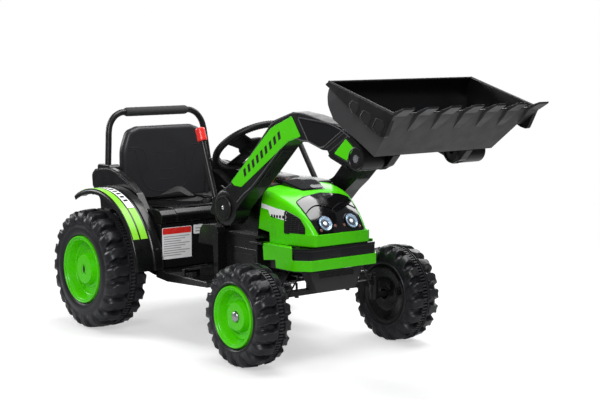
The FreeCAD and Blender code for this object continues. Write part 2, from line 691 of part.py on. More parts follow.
def make_tie_rod():
    rod_x = cells.wheelbase - cells.steering_arm
    kingpin = cells.kingpin_y
    bar = block("tie_bar", (rod_x - 5, rod_x + 5), (20 - kingpin, kingpin - 20), (183, 190))
    eyes = []
    slots = []
    for side, sign in SIDES.items():
        low, high = (kingpin - 21, kingpin + 9) if sign > 0 else (-kingpin - 9, 21 - kingpin)
        eyes.append(block("tie_eye_" + side, (rod_x - 12, rod_x + 12), (low, high), (183, 190)))
        slot_low, slot_high = (kingpin - 4, kingpin + 4) if sign > 0 else (-kingpin - 4, 4 - kingpin)
        slots.append(block("tie_slot_" + side, (rod_x - 8, rod_x + 8), (slot_low, slot_high), (180, 195)))
    fork = block("tie_fork", (524, rod_x - 4), (-14, 14), (183, 190))
    fork_slot = block("tie_fork_slot", (520, 570), (-5.5, 5.5), (180, 195))
    keep("tie_rod", cut("tie_rod", fuse("tie_joined", bar, fork, *eyes), *slots, fork_slot))


# ---------------------------------------------------------------- loader

def make_arm(side):
    """One cranked loader arm: a box-section moulding with a round boss at each pivot."""
    sign = SIDES[side]
    inner, outer = cells.arm_inner_y, cells.arm_outer_y
    low, high = (inner, outer) if sign > 0 else (-outer, -inner)
    pivot_x, pivot_z = cells.arm_pivot_x, cells.arm_pivot_z
    tip_x, tip_z = cells.bucket_pivot_x, cells.bucket_pivot_z
    outline = [
        (pivot_x - 40, pivot_z - 24), (pivot_x - 69, pivot_z - 21), (pivot_x - 46, pivot_z + 23),
        (pivot_x - 11, pivot_z + 43), (pivot_x + 28, pivot_z + 58), (644, 567), (680, 603), (760, 629),
        (818, 623), (tip_x - 70, 605), (tip_x - 16, tip_z + 50), (tip_x + 20, tip_z + 22),
        (tip_x - 5, tip_z - 28), (tip_x - 33, tip_z - 19), (894, 540), (869, 548), (818, 568), (773, 569),
        (727, 546), (599, 428), (562, 400), (pivot_x + 32, pivot_z - 18), (pivot_x + 5, pivot_z - 42),
    ]
    plate = side_pad("arm_plate_" + side, outline, low, high)
    pivot, tip, drilled = (pivot_x, pivot_z), (tip_x, tip_z), (120, 200)
    boss = side_rod("arm_boss_" + side, tip, sign, (130, outer), 28)
    hub = side_rod("arm_hub_" + side, pivot, sign, (inner, outer), 46)
    shaft_radius = cells.shaft_radius + cells.running_gap
    shaft_hole = side_rod("arm_shaft_hole_" + side, pivot, sign, drilled, shaft_radius)
    pin_radius = cells.bucket_pin_radius + cells.running_gap
    pin_hole = side_rod("arm_pin_hole_" + side, tip, sign, drilled, pin_radius)
    recess_low, recess_high = (outer - 3, outer + 1) if sign > 0 else (-outer - 1, 3 - outer)
    long_recess = [(520, 433), (551, 430), (761, 563), (790, 573), (754, 616), (688, 601), (652, 583)]
    recess = side_pad("arm_recess_" + side, long_recess, recess_low, recess_high)
    joined = fuse("arm_joined_" + side, plate, boss, hub)
    keep("loader_arm_" + side, cut("loader_arm_" + side, joined, shaft_hole, pin_hole, recess))
    panel_low, panel_high = (outer - 3, outer - 0.5) if sign > 0 else (0.5 - outer, 3 - outer)
    panel = [(523, 434), (551, 431.5), (760, 564), (787.5, 573.5), (753, 614.5), (689, 599.5), (653, 581.5)]
    cover = side_pad("arm_panel_" + side, panel, panel_low, panel_high)
    return cover, side_rod("pivot_cap_" + side, pivot, sign, (outer, outer + 6), 31)


def make_arms():
    pairs = [make_arm(side) for side in SIDES]
    keep("arm_panels", fuse("arm_panels", *[cover for cover, cap in pairs]))
    keep("pivot_caps", fuse("pivot_caps", *[cap for cover, cap in pairs]))


def make_arm_shaft():
    reach = cells.arm_outer_y - 0.5
    spot = (cells.arm_pivot_x, -reach, cells.arm_pivot_z)
    keep("arm_shaft", rod("arm_shaft_bar", spot, "y", reach * 2, cells.shaft_radius))


def leaning_bar(name, foot, lean_deg, start, length, radius):
    """A bar that leans back from upright, from a distance along it."""
    lean = math.radians(lean_deg)
    direction = (-math.sin(lean), 0, math.cos(lean))
    spot = (foot[0] + direction[0] * start, foot[1], foot[2] + direction[2] * start)
    return rod(name, spot, direction, length, radius)


def make_levers():
    right = (cells.lever_pivot_x, -cells.lever_right_y, cells.lever_pivot_z)
    bar = leaning_bar("right_lever_bar", right, 20.9, 0, 292, cells.lever_radius)
    foot = rod("right_lever_foot", (right[0], right[1] - 7, right[2]), "y", 14, 10)
    hole = rod("right_lever_hole", (right[0], right[1] - 9, right[2]), "y", 18, 4.05)
    keep("bucket_lever", cut("bucket_lever", fuse("bucket_lever_joined", bar, foot), hole))
    grip = leaning_bar("right_knob_grip", right, 20.9, 255, 40, 13)
    bore = leaning_bar("right_knob_bore", right, 20.9, 250, 42.3, cells.lever_radius)
    keep("bucket_lever_knob", cut("bucket_lever_knob", grip, bore))
    left = (cells.arm_pivot_x, cells.lever_left_y, cells.arm_pivot_z)
    bar = leaning_bar("left_lever_bar", left, 36, 12, 238, cells.lever_radius)
    eye = rod("left_lever_eye", (left[0], left[1] - 6, left[2]), "y", 13.7, 18)
    hole = rod("left_lever_hole", (left[0], left[1] - 8, left[2]), "y", 18, cells.shaft_radius + 0.05)
    keep("arm_lever", cut("arm_lever", fuse("arm_lever_joined", bar, eye), hole))
    grip = leaning_bar("left_knob_grip", left, 36, 213, 40, 13)
    bore = leaning_bar("left_knob_bore", left, 36, 208, 42.3, cells.lever_radius)
    keep("arm_lever_knob", cut("arm_lever_knob", grip, bore))


def make_bucket():
    """The scoop: a tapered hollow with a straight lip, flanged cheeks, teeth and two hinge lugs."""
    half, foot, wall = cells.bucket_half_width, cells.bucket_foot_half_width, cells.bucket_wall
    side_view = [(938, 706), (924, 672), (933, 620), (1002, 573), (1044, 541), (1151, 641)]
    hollow_view = [(945, 760), (943, 703), (930, 672), (939, 624), (1005, 579), (1042, 548), (1146, 643),
                   (1190, 700)]
    front_view = [(-half, 760), (-half, 650), (-foot, 539), (-foot, 500), (foot, 500), (foot, 539),
                  (half, 650), (half, 760)]
    inner_view = [(wall - half, 761), (wall - half, 650), (wall - foot, 545), (wall - foot, 500),
                  (foot - wall, 500), (foot - wall, 545), (half - wall, 650), (half - wall, 761)]
    outer = common("bucket_outer", side_pad("bucket_side", side_view, -half, half),
                   pad("bucket_front", "YZ_Plane", front_view, 900, 1200))
    inner = common("bucket_inner", side_pad("bucket_hollow_side", hollow_view, -half, half),
                   pad("bucket_hollow_front", "YZ_Plane", inner_view, 900, 1200))
    shell = cut("bucket_shell", outer, inner)
    pieces = [shell]
    cheek = [(938, 706), (944, 692), (1090, 600), (1104, 594), (1125, 589), (1151, 641)]
    pivot = (cells.bucket_pivot_x, cells.bucket_pivot_z)
    lug_view = [(964, 520), (952, 609), (1002, 575), (1043, 543), (1020, 515), (991, 505)]
    for side, sign in SIDES.items():
        low, high = (half - 1, half + 9) if sign > 0 else (-half - 9, 1 - half)
        pieces.append(side_pad("bucket_cheek_" + side, cheek, low, high))
        low, high = (107, 128) if sign > 0 else (-128, -107)
        pieces.append(side_pad("bucket_lug_" + side, lug_view, low, high))
    count = int(float(cells.tooth_count))
    tooth = [(1120, 612), (1151, 641.5), (1185, 657), (1181, 650), (1128, 606)]
    pitch = (half * 2 + 18 - cells.tooth_width) / (cells.tooth_count - 1)
    for number in range(count):
        low = -half - 9 + pitch * number
        pieces.append(side_pad("bucket_tooth_%d" % number, tooth, low, low + cells.tooth_width))
    holes = [side_rod("bucket_hole_" + side, pivot, sign, (100, 129), cells.bucket_pin_radius)
             for side, sign in SIDES.items()]
    keep("bucket", cut("bucket", fuse("bucket_joined", *pieces), *holes))
    pins = []
    face = cells.arm_outer_y + 0.3
    for side, sign in SIDES.items():
        pins.append(side_rod("bucket_pin_" + side, pivot, sign, (107, face), cells.bucket_pin_radius))
        pins.append(side_rod("bucket_pin_head_" + side, pivot, sign, (face, face + 3), 9))
    keep("bucket_pins", fuse("bucket_pins", *pins))


# ---------------------------------------------------------------- fittings

def make_fittings():
    keep("battery", block("battery_box", (104, 172), (-75, 75), (cells.floor_top + 8, 268)))
    keep("motor_controller", block("controller_box", (-30, 30), (-45, 45), (262, 290)))
    pedal = side_pad("pedal_plate", [(320, 189), (322, 194), (388, 211), (392, 205)], -206, -170)
    hinge = rod("pedal_barrel", (322, -206, 190), "y", 36, 6)
    hole = rod("pedal_hole", (322, -207, 190), "y", 38, 3.05)
    keep("foot_pedal", cut("foot_pedal", fuse("pedal_joined", pedal, hinge), hole))
    pins = [rod("pedal_pin", (322, -212, 190), "y", 48, 3),
            rod("lever_pin", (cells.lever_pivot_x, -165, cells.lever_pivot_z), "y", 60, 4)]
    for name, low, high in (("outer", -213, -209), ("inner", -167, -163)):
        pins.append(block("pedal_post_" + name, (317, 327), (low, high), (cells.floor_top, 194)))
    keep("pivot_pins", fuse("pivot_pins", *pins))


def build():
    for side in SIDES:
        make_wheel("rear", side, 0, 20, 40)
        make_wheel("front", side, cells.wheelbase, 18, 34)
        make_drive(side)
        make_fender(side)
        make_armrest(side)
    for maker in (make_arms, make_rear_axle, make_seat_box, make_floor_pan, make_roll_bar, make_seat,
                  make_seat_belt, make_tower, make_consoles, make_dashboard, make_bonnet, make_front_frame,
                  make_steering, make_front_axle, make_tie_rod, make_arm_shaft, make_levers, make_bucket,
                  make_fittings):
        maker()
    doc.recompute()


def check():
    """Stop if any feature failed or any sub-part has no sound shape."""
    for feature in doc.Objects:
        if "Invalid" in feature.State or "Error" in feature.State:
            raise RuntimeError("%s is not sound: %s" % (feature.Name, feature.State))
    for node, feature in PARTS.items():
        if feature.Shape.isNull() or not feature.Shape.isValid():
            raise RuntimeError("%s has no valid shape" % node)


def write():
    os.makedirs("parts", exist_ok=True)
    for node, feature in PARTS.items():
        feature.Shape.exportStep("parts/%s.step" % node)


build()
check()
write()
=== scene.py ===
import json
import math

import bmesh
import bpy
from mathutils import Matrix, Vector
from mathutils.bvhtree import BVHTree

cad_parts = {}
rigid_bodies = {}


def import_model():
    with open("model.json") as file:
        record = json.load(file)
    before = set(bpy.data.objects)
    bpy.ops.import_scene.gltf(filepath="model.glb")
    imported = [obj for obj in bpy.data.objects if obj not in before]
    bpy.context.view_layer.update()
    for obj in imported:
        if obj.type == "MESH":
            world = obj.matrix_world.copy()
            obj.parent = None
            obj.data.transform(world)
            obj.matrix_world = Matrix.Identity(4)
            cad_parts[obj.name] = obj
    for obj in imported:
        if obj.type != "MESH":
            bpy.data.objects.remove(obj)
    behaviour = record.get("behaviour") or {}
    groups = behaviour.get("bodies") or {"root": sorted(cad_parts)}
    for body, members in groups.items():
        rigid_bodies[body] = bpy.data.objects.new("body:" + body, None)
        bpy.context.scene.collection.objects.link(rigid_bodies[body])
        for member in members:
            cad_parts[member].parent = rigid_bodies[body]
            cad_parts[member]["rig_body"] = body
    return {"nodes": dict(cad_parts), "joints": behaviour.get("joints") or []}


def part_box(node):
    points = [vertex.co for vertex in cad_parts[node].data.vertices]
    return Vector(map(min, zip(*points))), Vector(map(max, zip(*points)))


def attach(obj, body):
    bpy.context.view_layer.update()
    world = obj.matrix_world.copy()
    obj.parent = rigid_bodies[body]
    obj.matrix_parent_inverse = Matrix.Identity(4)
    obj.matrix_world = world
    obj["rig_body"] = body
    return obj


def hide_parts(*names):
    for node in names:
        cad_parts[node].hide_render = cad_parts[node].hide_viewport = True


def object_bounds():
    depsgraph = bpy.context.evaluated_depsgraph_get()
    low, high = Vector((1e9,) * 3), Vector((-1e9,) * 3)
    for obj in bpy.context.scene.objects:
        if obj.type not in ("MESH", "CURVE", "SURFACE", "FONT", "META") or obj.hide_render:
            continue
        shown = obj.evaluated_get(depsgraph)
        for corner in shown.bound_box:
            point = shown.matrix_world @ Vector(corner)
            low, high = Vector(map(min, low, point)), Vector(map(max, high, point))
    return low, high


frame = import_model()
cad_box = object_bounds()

# The looks of a ride-on toy front loader. Lengths in this script are millimetres: ahead of the rear axle,
# to the rider's left, and up from the floor. at() turns them into the frame's metres.

MM = 0.001
JOINTS = {joint["name"]: joint for joint in frame["joints"]}
REAR_AXLE_X = JOINTS["rear_wheel_right_spin"]["pos_m"][0]
REAR_AXLE_Z = JOINTS["rear_wheel_right_spin"]["pos_m"][2] / MM
ARM_PIVOT = [value / MM for value in JOINTS["loader_arms_raise"]["pos_m"]]
ARM_PIVOT_X = ARM_PIVOT[0] - REAR_AXLE_X / MM
ARM_PIVOT_Z = ARM_PIVOT[2]
BUCKET_PIN = [value / MM for value in JOINTS["bucket_tilt"]["pos_m"]]
BUCKET_PIN_X = BUCKET_PIN[0] - REAR_AXLE_X / MM
BUCKET_PIN_Z = BUCKET_PIN[2]
SIDES = {"right": -1, "left": 1}


def at(x, y, z):
    return Vector((REAR_AXLE_X + x * MM, y * MM, z * MM))


def node_box(node):
    """A CAD node's lowest and highest corners, in this script's millimetres."""
    low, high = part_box(node)
    shift = Vector((REAR_AXLE_X, 0, 0))
    return (low - shift) / MM, (high - shift) / MM


# ---------------------------------------------------------------- finishes

def new_finish(name):
    material = bpy.data.materials.new(name)
    material.use_nodes = True
    tree = material.node_tree
    return material, tree, tree.nodes["Principled BSDF"]


def texture(tree, kind, scale, **settings):
    """A texture node fixed to the object, at a scale in cycles a metre."""
    where = tree.nodes.new("ShaderNodeTexCoord")
    made = tree.nodes.new(kind)
    made.inputs["Scale"].default_value = scale
    for key, value in settings.items():
        made.inputs[key].default_value = value
    tree.links.new(where.outputs["Object"], made.inputs["Vector"])
    return made


def ramp(tree, source, stops):
    """Colours picked along a value."""
    made = tree.nodes.new("ShaderNodeValToRGB")
    elements = made.color_ramp.elements
    while len(elements) < len(stops):
        elements.new(0.5)
    for element, (position, colour) in zip(elements, stops):
        element.position = position
        element.color = (*colour, 1)
    tree.links.new(source, made.inputs["Fac"])
    return made


def spread(tree, source, low, high):
    """The source's 0.3 to 0.7 stretched over low to high."""
    made = tree.nodes.new("ShaderNodeMapRange")
    made.inputs["From Min"].default_value = 0.3
    made.inputs["From Max"].default_value = 0.7
    made.inputs["To Min"].default_value = low
    made.inputs["To Max"].default_value = high
    tree.links.new(source, made.inputs["Value"])
    return made


def bump(tree, shader, source, strength, depth):
    made = tree.nodes.new("ShaderNodeBump")
    made.inputs["Strength"].default_value = strength
    made.inputs["Distance"].default_value = depth * MM
    tree.links.new(source, made.inputs["Height"])
    tree.links.new(made.outputs["Normal"], shader.inputs["Normal"])
    return made


def tinted(colour, share):
    return tuple(min(1, channel * share) for channel in colour)


def plastic(name, colour, rough, grain=0.06, grain_scale=900, mottle=0.1, coat=0.0, edge_highlight=0.0, shine=0.3):
    """Moulded plastic: a fine grain, uneven gloss, faint flow marks, and sharp edges lightened as a painted
    highlight.
    """
    material, tree, shader = new_finish(name)
    flow = texture(tree, "ShaderNodeTexNoise", 9, Detail=4, Distortion=0.6)
    colours = ramp(tree, flow.outputs["Fac"],
                   [(0.3, tinted(colour, 1 - mottle)), (0.7, tinted(colour, 1 + mottle))])
    source = colours.outputs["Color"]
    # painted highlight: edges picked out by pointiness get a lighter colour, standing for the light they
    # catch
    if edge_highlight:
        edges = tree.nodes.new("ShaderNodeNewGeometry")
        edge_light = ramp(tree, edges.outputs["Pointiness"], [(0.52, (0, 0, 0)), (0.62, (edge_highlight, edge_highlight, edge_highlight))])
        mixed = tree.nodes.new("ShaderNodeMix")
        mixed.data_type = "RGBA"
        mixed.blend_type = "ADD"
        mixed.inputs["Factor"].default_value = 1
        tree.links.new(source, mixed.inputs["A"])
        tree.links.new(edge_light.outputs["Color"], mixed.inputs["B"])
        source = mixed.outputs["Result"]
    tree.links.new(source, shader.inputs["Base Color"])
    smears = texture(tree, "ShaderNodeTexNoise", 34, Detail=5, Distortion=0.3)
    gloss = spread(tree, smears.outputs["Fac"], max(0.03, rough - 0.05), rough + 0.07)
    tree.links.new(gloss.outputs["Result"], shader.inputs["Roughness"])
    fine = texture(tree, "ShaderNodeTexNoise", grain_scale, Detail=2)
    bump(tree, shader, fine.outputs["Fac"], grain, 0.25)
    shader.inputs["Specular IOR Level"].default_value = shine
    shader.inputs["Coat Weight"].default_value = coat
    shader.inputs["Coat Roughness"].default_value = 0.06
    return material


def metal(name, colour, rough, brushed=0.3):
    """Plated or turned steel with fine lengthwise scratches."""
    material, tree, shader = new_finish(name)
    shader.inputs["Metallic"].default_value = 1
    cloud = texture(tree, "ShaderNodeTexNoise", 60, Detail=4)
    colours = ramp(tree, cloud.outputs["Fac"], [(0.3, tinted(colour, 0.8)), (0.7, tinted(colour, 1.1))])
    tree.links.new(colours.outputs["Color"], shader.inputs["Base Color"])
    gloss = spread(tree, cloud.outputs["Fac"], rough - 0.06, rough + 0.1)
    tree.links.new(gloss.outputs["Result"], shader.inputs["Roughness"])
    lines = texture(tree, "ShaderNodeTexWave", 420, Distortion=3.0, Detail=2.0)
    bump(tree, shader, lines.outputs["Fac"], brushed, 0.05)
    return material


def woven(name, colour):
    """Narrow woven webbing: two crossed waves of yarn."""
    material, tree, shader = new_finish(name)
    weft = texture(tree, "ShaderNodeTexWave", 190, Distortion=0.4, Detail=1.0)
    weft.bands_direction = "X"
    warp = texture(tree, "ShaderNodeTexWave", 190, Distortion=0.4, Detail=1.0)
    warp.bands_direction = "Y"
    weave = tree.nodes.new("ShaderNodeMath")
    weave.operation = "MULTIPLY"
    tree.links.new(weft.outputs["Fac"], weave.inputs[0])
    tree.links.new(warp.outputs["Fac"], weave.inputs[1])
    colours = ramp(tree, weave.outputs["Value"], [(0.0, tinted(colour, 0.5)), (0.8, tinted(colour, 1.6))])
    tree.links.new(colours.outputs["Color"], shader.inputs["Base Color"])
    shader.inputs["Roughness"].default_value = 0.72
    bump(tree, shader, weave.outputs["Value"], 0.7, 0.6)
    return material


def foam(name, colour):
    """Closed-cell foam: small pores in a matt skin."""
    material, tree, shader = new_finish(name)
    cells = texture(tree, "ShaderNodeTexVoronoi", 620)
    colours = ramp(tree, cells.outputs["Distance"], [(0.0, tinted(colour, 0.55)), (0.6, tinted(colour, 1.3))])
    tree.links.new(colours.outputs["Color"], shader.inputs["Base Color"])
    shader.inputs["Roughness"].default_value = 0.82
    bump(tree, shader, cells.outputs["Distance"], 0.6, 0.5)
    return material


def lamp(name, colour, glow):
    """A faceted reflector seen through a clear lens, faintly lit."""
    material, tree, shader = new_finish(name)
    facets = texture(tree, "ShaderNodeTexVoronoi", 260)
    colours = ramp(tree, facets.outputs["Distance"], [(0.0, tinted(colour, 1.2)), (0.7, tinted(colour, 0.6))])
    tree.links.new(colours.outputs["Color"], shader.inputs["Base Color"])
    tree.links.new(colours.outputs["Color"], shader.inputs["Emission Color"])
    shader.inputs["Emission Strength"].default_value = glow
    shader.inputs["Roughness"].default_value = 0.12
    shader.inputs["Metallic"].default_value = 0.4
    bump(tree, shader, facets.outputs["Distance"], 0.5, 0.5)
    return material


def clear(name, colour, alpha):
    """Clear or smoked plastic sheet with faint moulding ripples."""
    material, tree, shader = new_finish(name)
    ripple = texture(tree, "ShaderNodeTexNoise", 30, Detail=2)
    colours = ramp(tree, ripple.outputs["Fac"], [(0.3, tinted(colour, 0.9)), (0.7, tinted(colour, 1.1))])
    tree.links.new(colours.outputs["Color"], shader.inputs["Base Color"])
    shader.inputs["Alpha"].default_value = alpha
    shader.inputs["Roughness"].default_value = 0.04
    bump(tree, shader, ripple.outputs["Fac"], 0.05, 0.3)
    return material


GREEN = plastic("green_plastic_finish", (0.078, 0.63, 0.0010), 0.24, mottle=0.04, coat=0.12, shine=0.25)
RIM_GREEN = plastic("rim_green_finish", (0.076, 0.60, 0.0012), 0.28, mottle=0.04, coat=0.06, shine=0.25)
STRIPE = plastic("stripe_green_finish", (0.22, 0.62, 0.03), 0.32, mottle=0.04, coat=0.1, shine=0.25)
# the last number given to some finishes below lightens their sharp edges: a painted highlight
BLACK = plastic("black_plastic_finish", (0.0032, 0.0032, 0.0036), 0.30, edge_highlight=0.008, shine=0.3)
BODY_BLACK = plastic("body_black_finish", (0.0032, 0.0032, 0.0036), 0.27, coat=0.1, edge_highlight=0.008)
DARK_GREY = plastic("dark_grey_finish", (0.013, 0.0125, 0.0135), 0.36, grain=0.1, edge_highlight=0.012)
# painted highlight: this light grey colours the arms' raised beads to stand for the light they catch
HIGHLIGHT_GREY = plastic("painted_highlight_finish", (0.085, 0.085, 0.09), 0.34, grain=0.05)
SHELL_GREY = plastic("bucket_grey_finish", (0.029, 0.027, 0.029), 0.42, grain=0.2, edge_highlight=0.02)
SEAT_GREY = plastic("seat_grey_finish", (0.023, 0.023, 0.0255), 0.38, grain=0.15, grain_scale=800)
TYRE = plastic("tyre_finish", (0.0125, 0.0125, 0.015), 0.34, grain=0.15, grain_scale=700, mottle=0.15,
               edge_highlight=0.02)
MATT_BLACK = plastic("matt_black_finish", (0.003, 0.003, 0.0034), 0.42, grain=0.2)
RED = plastic("red_finish", (0.78, 0.03, 0.022), 0.25, coat=0.2, mottle=0.05)
POWDER = plastic("powder_coat_finish", (0.010, 0.010, 0.011), 0.32, grain=0.25, grain_scale=500)
WHITE = plastic("white_sticker_finish", (0.86, 0.86, 0.86), 0.35, grain=0.03, mottle=0.03)
STICKER_GREY = plastic("grey_print_finish", (0.30, 0.30, 0.31), 0.4, grain=0.05)
GLOSS_BLACK = plastic("gloss_black_finish", (0.003, 0.003, 0.0035), 0.09, grain=0.01, coat=0.3, shine=0.5)
STEEL = metal("zinc_steel_finish", (0.62, 0.62, 0.64), 0.28)
CAP_GREY = metal("hub_cap_finish", (0.42, 0.42, 0.44), 0.34)
WEBBING = woven("webbing_finish", (0.006, 0.006, 0.007))
FOAM = foam("foam_finish", (0.022, 0.022, 0.023))
LAMP_BLUE = lamp("lamp_reflector_finish", (0.42, 0.62, 0.86), 0.25)
LAMP_WHITE = lamp("lamp_bulb_finish", (0.92, 0.96, 1.0), 0.9)
LAMP_AMBER = lamp("lamp_amber_finish", (0.34, 0.17, 0.13), 0.02)
SMOKED = clear("smoked_finish", (0.02, 0.02, 0.022), 0.72)
CLEAR = clear("clear_lens_finish", (0.6, 0.7, 0.8), 0.12)


# ---------------------------------------------------------------- forms

def spot(axis, u, v, w):
    """Two places across an outline and one along its axis, as a point."""
    if axis == "x":
        return at(w, u, v)
    if axis == "y":
        return at(u, w, v)
    return at(u, v, w)


def rounded(points, radius, steps=5):
    """The closed outline with its corners rounded; a point's third number is its own radius."""
    result = []
    for number, point in enumerate(points):
        here = Vector(point[:2])
        back = Vector(points[number - 1][:2]) - here
        ahead = Vector(points[(number + 1) % len(points)][:2]) - here
        turn = back.angle(ahead)
        own = point[2] if len(point) > 2 else radius
        if own <= 0 or turn > math.pi - 0.03:
            result.append(here)
            continue
        reach = min(own / math.tan(turn / 2), 0.45 * back.length, 0.45 * ahead.length)
        start = here + back.normalized() * reach
        end = here + ahead.normalized() * reach
        for step in range(steps + 1):
            t = step / steps
            result.append(start * (1 - t) ** 2 + here * (2 * t * (1 - t)) + end * t ** 2)
    return result


def inset(points, amount):
    """A closed outline drawn in by an amount along every side."""
    points = [Vector(point[:2]) for point in points]
    turning = sum(a.x * b.y - b.x * a.y for a, b in zip(points, points[1:] + points[:1]))
    sign = 1 if turning > 0 else -1
    result = []
    for number, here in enumerate(points):
        before = (here - points[number - 1]).normalized()
        after = (points[(number + 1) % len(points)] - here).normalized()
        normal = Vector((-before.y - after.y, before.x + after.x)) * sign
        if normal.length < 1e-6:
            continue
        normal.normalize()
        lean = max(0.35, normal.dot(Vector((-before.y, before.x)) * sign))
        result.append(here + normal * (amount / lean))
    return result


def curve_through(points, per=6, closed=False):
    """A smooth line through every point, as a list of points."""
    points = [Vector(point) for point in points]
    count = len(points)
    result = []
    for number in range(count if closed else count - 1):
        before = points[number - 1] if closed or number else points[0] * 2 - points[1]
        start = points[number]
        end = points[(number + 1) % count]
        last = number + 2 >= count and not closed
        after = points[-1] * 2 - points[-2] if last else points[(number + 2) % count]
        for step in range(per):
            t = step / per
            result.append(0.5 * ((2 * start) + (end - before) * t
                                 + (2 * before - 5 * start + 4 * end - after) * t ** 2
                                 + (3 * start - before - 3 * end + after) * t ** 3))
    if not closed:
        result.append(points[-1])
    return result


def soften(part, radius, steps=2, sharper=25):
    """Round over every edge that turns by more than an angle."""
    edges = [edge for edge in part.edges
             if len(edge.link_faces) == 2 and edge.calc_face_angle(0) > math.radians(sharper)]
    bmesh.ops.bevel(part, geom=edges, offset=radius * MM, offset_type="OFFSET", segments=steps,
                    profile=0.5, affect="EDGES", clamp_overlap=True)


def prism(outline, low, high, axis="y", bevel=0.0, steps=2, sharper=25):
    """A closed outline pushed along an axis from low to high."""
    part = bmesh.new()
    ends = [[part.verts.new(spot(axis, u, v, w)) for u, v in outline] for w in (low, high)]
    part.faces.new(ends[0])
    part.faces.new(ends[1][::-1])
    count = len(outline)
    for number in range(count):
        after = (number + 1) % count
        part.faces.new([ends[0][after], ends[0][number], ends[1][number], ends[1][after]])
    bmesh.ops.recalc_face_normals(part, faces=part.faces)
    if bevel:
        soften(part, bevel, steps, sharper)
    return part


def skin(rows, closed=False, looped=False, ends=False):
    """A surface through rows of points. Closed joins each row's ends, looped the last row to the first."""
    part = bmesh.new()
    grid = [[part.verts.new(point) for point in row] for row in rows]
    across = len(grid[0])
    for number in range(len(grid) if looped else len(grid) - 1):
        near, far = grid[number], grid[(number + 1) % len(grid)]
        for step in range(across if closed else across - 1):
            after = (step + 1) % across
            part.faces.new([near[step], near[after], far[after], far[step]])
    if ends:
        part.faces.new(grid[0])
        part.faces.new(grid[-1][::-1])
    bmesh.ops.remove_doubles(part, verts=part.verts, dist=1e-6)
    bmesh.ops.recalc_face_normals(part, faces=part.faces)
    return part


def turned(profile, centre, direction=(0, 1, 0), segments=64, closed=False):
    """A profile of (along, radius) points turned about a line through the centre."""
    turn = Vector(direction).normalized().to_track_quat("Z", "Y").to_matrix()
    rows = []
    for along, radius in profile:
        row = []
        for number in range(segments):
            angle = math.tau * number / segments
            offset = Vector((radius * math.cos(angle), radius * math.sin(angle), along)) * MM
            row.append(centre + turn @ offset)
        rows.append(row)
    return skin(rows, closed=True, looped=closed)


def tube(path, radius, sides=10, closed=False):
    """A round bar along points in the frame, in metres; its radius is in millimetres."""
    count = len(path)
    rows = []
    normal = None
    for number, point in enumerate(path):
        before = path[number - 1] if number or closed else point
        after = path[(number + 1) % count] if number < count - 1 or closed else point
        tangent = (after - before).normalized()
        if normal is None:
            normal = tangent.orthogonal().normalized()
        normal = (normal - tangent * normal.dot(tangent)).normalized()
        other = tangent.cross(normal)
        row = []
        for step in range(sides):
            angle = math.tau * step / sides
            row.append(point + (normal * math.cos(angle) + other * math.sin(angle)) * radius * MM)
        rows.append(row)
    return skin(rows, closed=True, looped=closed, ends=not closed)


def bead(outline, place, radius=1.2, axis="y", closed=True, sides=6):
    """A raised line that follows an outline on a flat face."""
    return tube([spot(axis, u, v, place) for u, v in outline], radius, sides, closed)


def drape(part, target, direction, lift):
    """Lay a flat patch on a surface, met along a direction, and lift it off the surface."""
    direction = Vector(direction).normalized()
    for vertex in part.verts:
        hit, normal, _, _ = target.ray_cast(vertex.co - direction * 0.3, direction)
        if hit is not None:
            normal = -normal if normal.dot(direction) > 0 else normal
            vertex.co = hit + normal * lift * MM
    return part


def patch(outline, place, axis="y", pitch=6):
    """A flat patch cut into small squares, ready to be draped."""
    part = bmesh.new()
    part.faces.new([part.verts.new(spot(axis, u, v, place)) for u, v in outline])
    for position in range(2):
        along = Vector(spot(axis, 1, 0, 0) if position == 0 else spot(axis, 0, 1, 0)) - spot(axis, 0, 0, 0)
        low = min(point[position] for point in outline)
        high = max(point[position] for point in outline)
        for number in range(1, int((high - low) / pitch) + 1):
            value = low + pitch * number
            start = spot(axis, value, 0, place) if position == 0 else spot(axis, 0, value, place)
            geometry = part.verts[:] + part.edges[:] + part.faces[:]
            bmesh.ops.bisect_plane(part, geom=geometry, plane_co=start, plane_no=along.normalized(),
                                   dist=1e-7)
    return part


def thickened(part, amount):
    """Give a sheet a thickness, on the side away from its normals."""
    bmesh.ops.recalc_face_normals(part, faces=part.faces)
    bmesh.ops.solidify(part, geom=part.faces[:], thickness=amount * MM)
    return part


class Piece:
    """A visible piece under construction: parts, each with its own finish, joined in one mesh."""

    def __init__(self, name):
        self.name = name
        self.form = bmesh.new()
        self.finishes = []

    def add(self, part, finish):
        if finish not in self.finishes:
            self.finishes.append(finish)
        for face in part.faces:
            face.material_index = self.finishes.index(finish)
            face.smooth = True
        mesh = bpy.data.meshes.new("part")
        part.to_mesh(mesh)
        part.free()
        self.form.from_mesh(mesh)
        bpy.data.meshes.remove(mesh)
        return self

    def done(self, body, slot, *replaced, crease=38):
        mesh = bpy.data.meshes.new(self.name)
        self.form.to_mesh(mesh)
        self.form.free()
        for finish in self.finishes:
            mesh.materials.append(finish)
        mesh.set_sharp_from_angle(angle=math.radians(crease))
        piece = bpy.data.objects.new(self.name, mesh)
        bpy.context.scene.collection.objects.link(piece)
        weighted = piece.modifiers.new("weighted_normals", "WEIGHTED_NORMAL")
        weighted.keep_sharp = True
        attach(piece, body)
        if replaced:
            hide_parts(*replaced)
        return piece


def eased(node, name, slot, finish, radius, extras=()):
    """A CAD node's own shape with its sharp edges rounded over, and any extra parts."""
    source = frame["nodes"][node]
    part = bmesh.new()
    part.from_mesh(source.data)
    bmesh.ops.remove_doubles(part, verts=part.verts, dist=2e-6)
    bmesh.ops.dissolve_limit(part, angle_limit=math.radians(1), verts=part.verts, edges=part.edges)
    soften(part, radius, 2, 35)
    piece = Piece(name).add(part, finish)
    for extra, own_finish in extras:
        piece.add(extra, own_finish)
    return piece.done(source["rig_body"], slot, node)


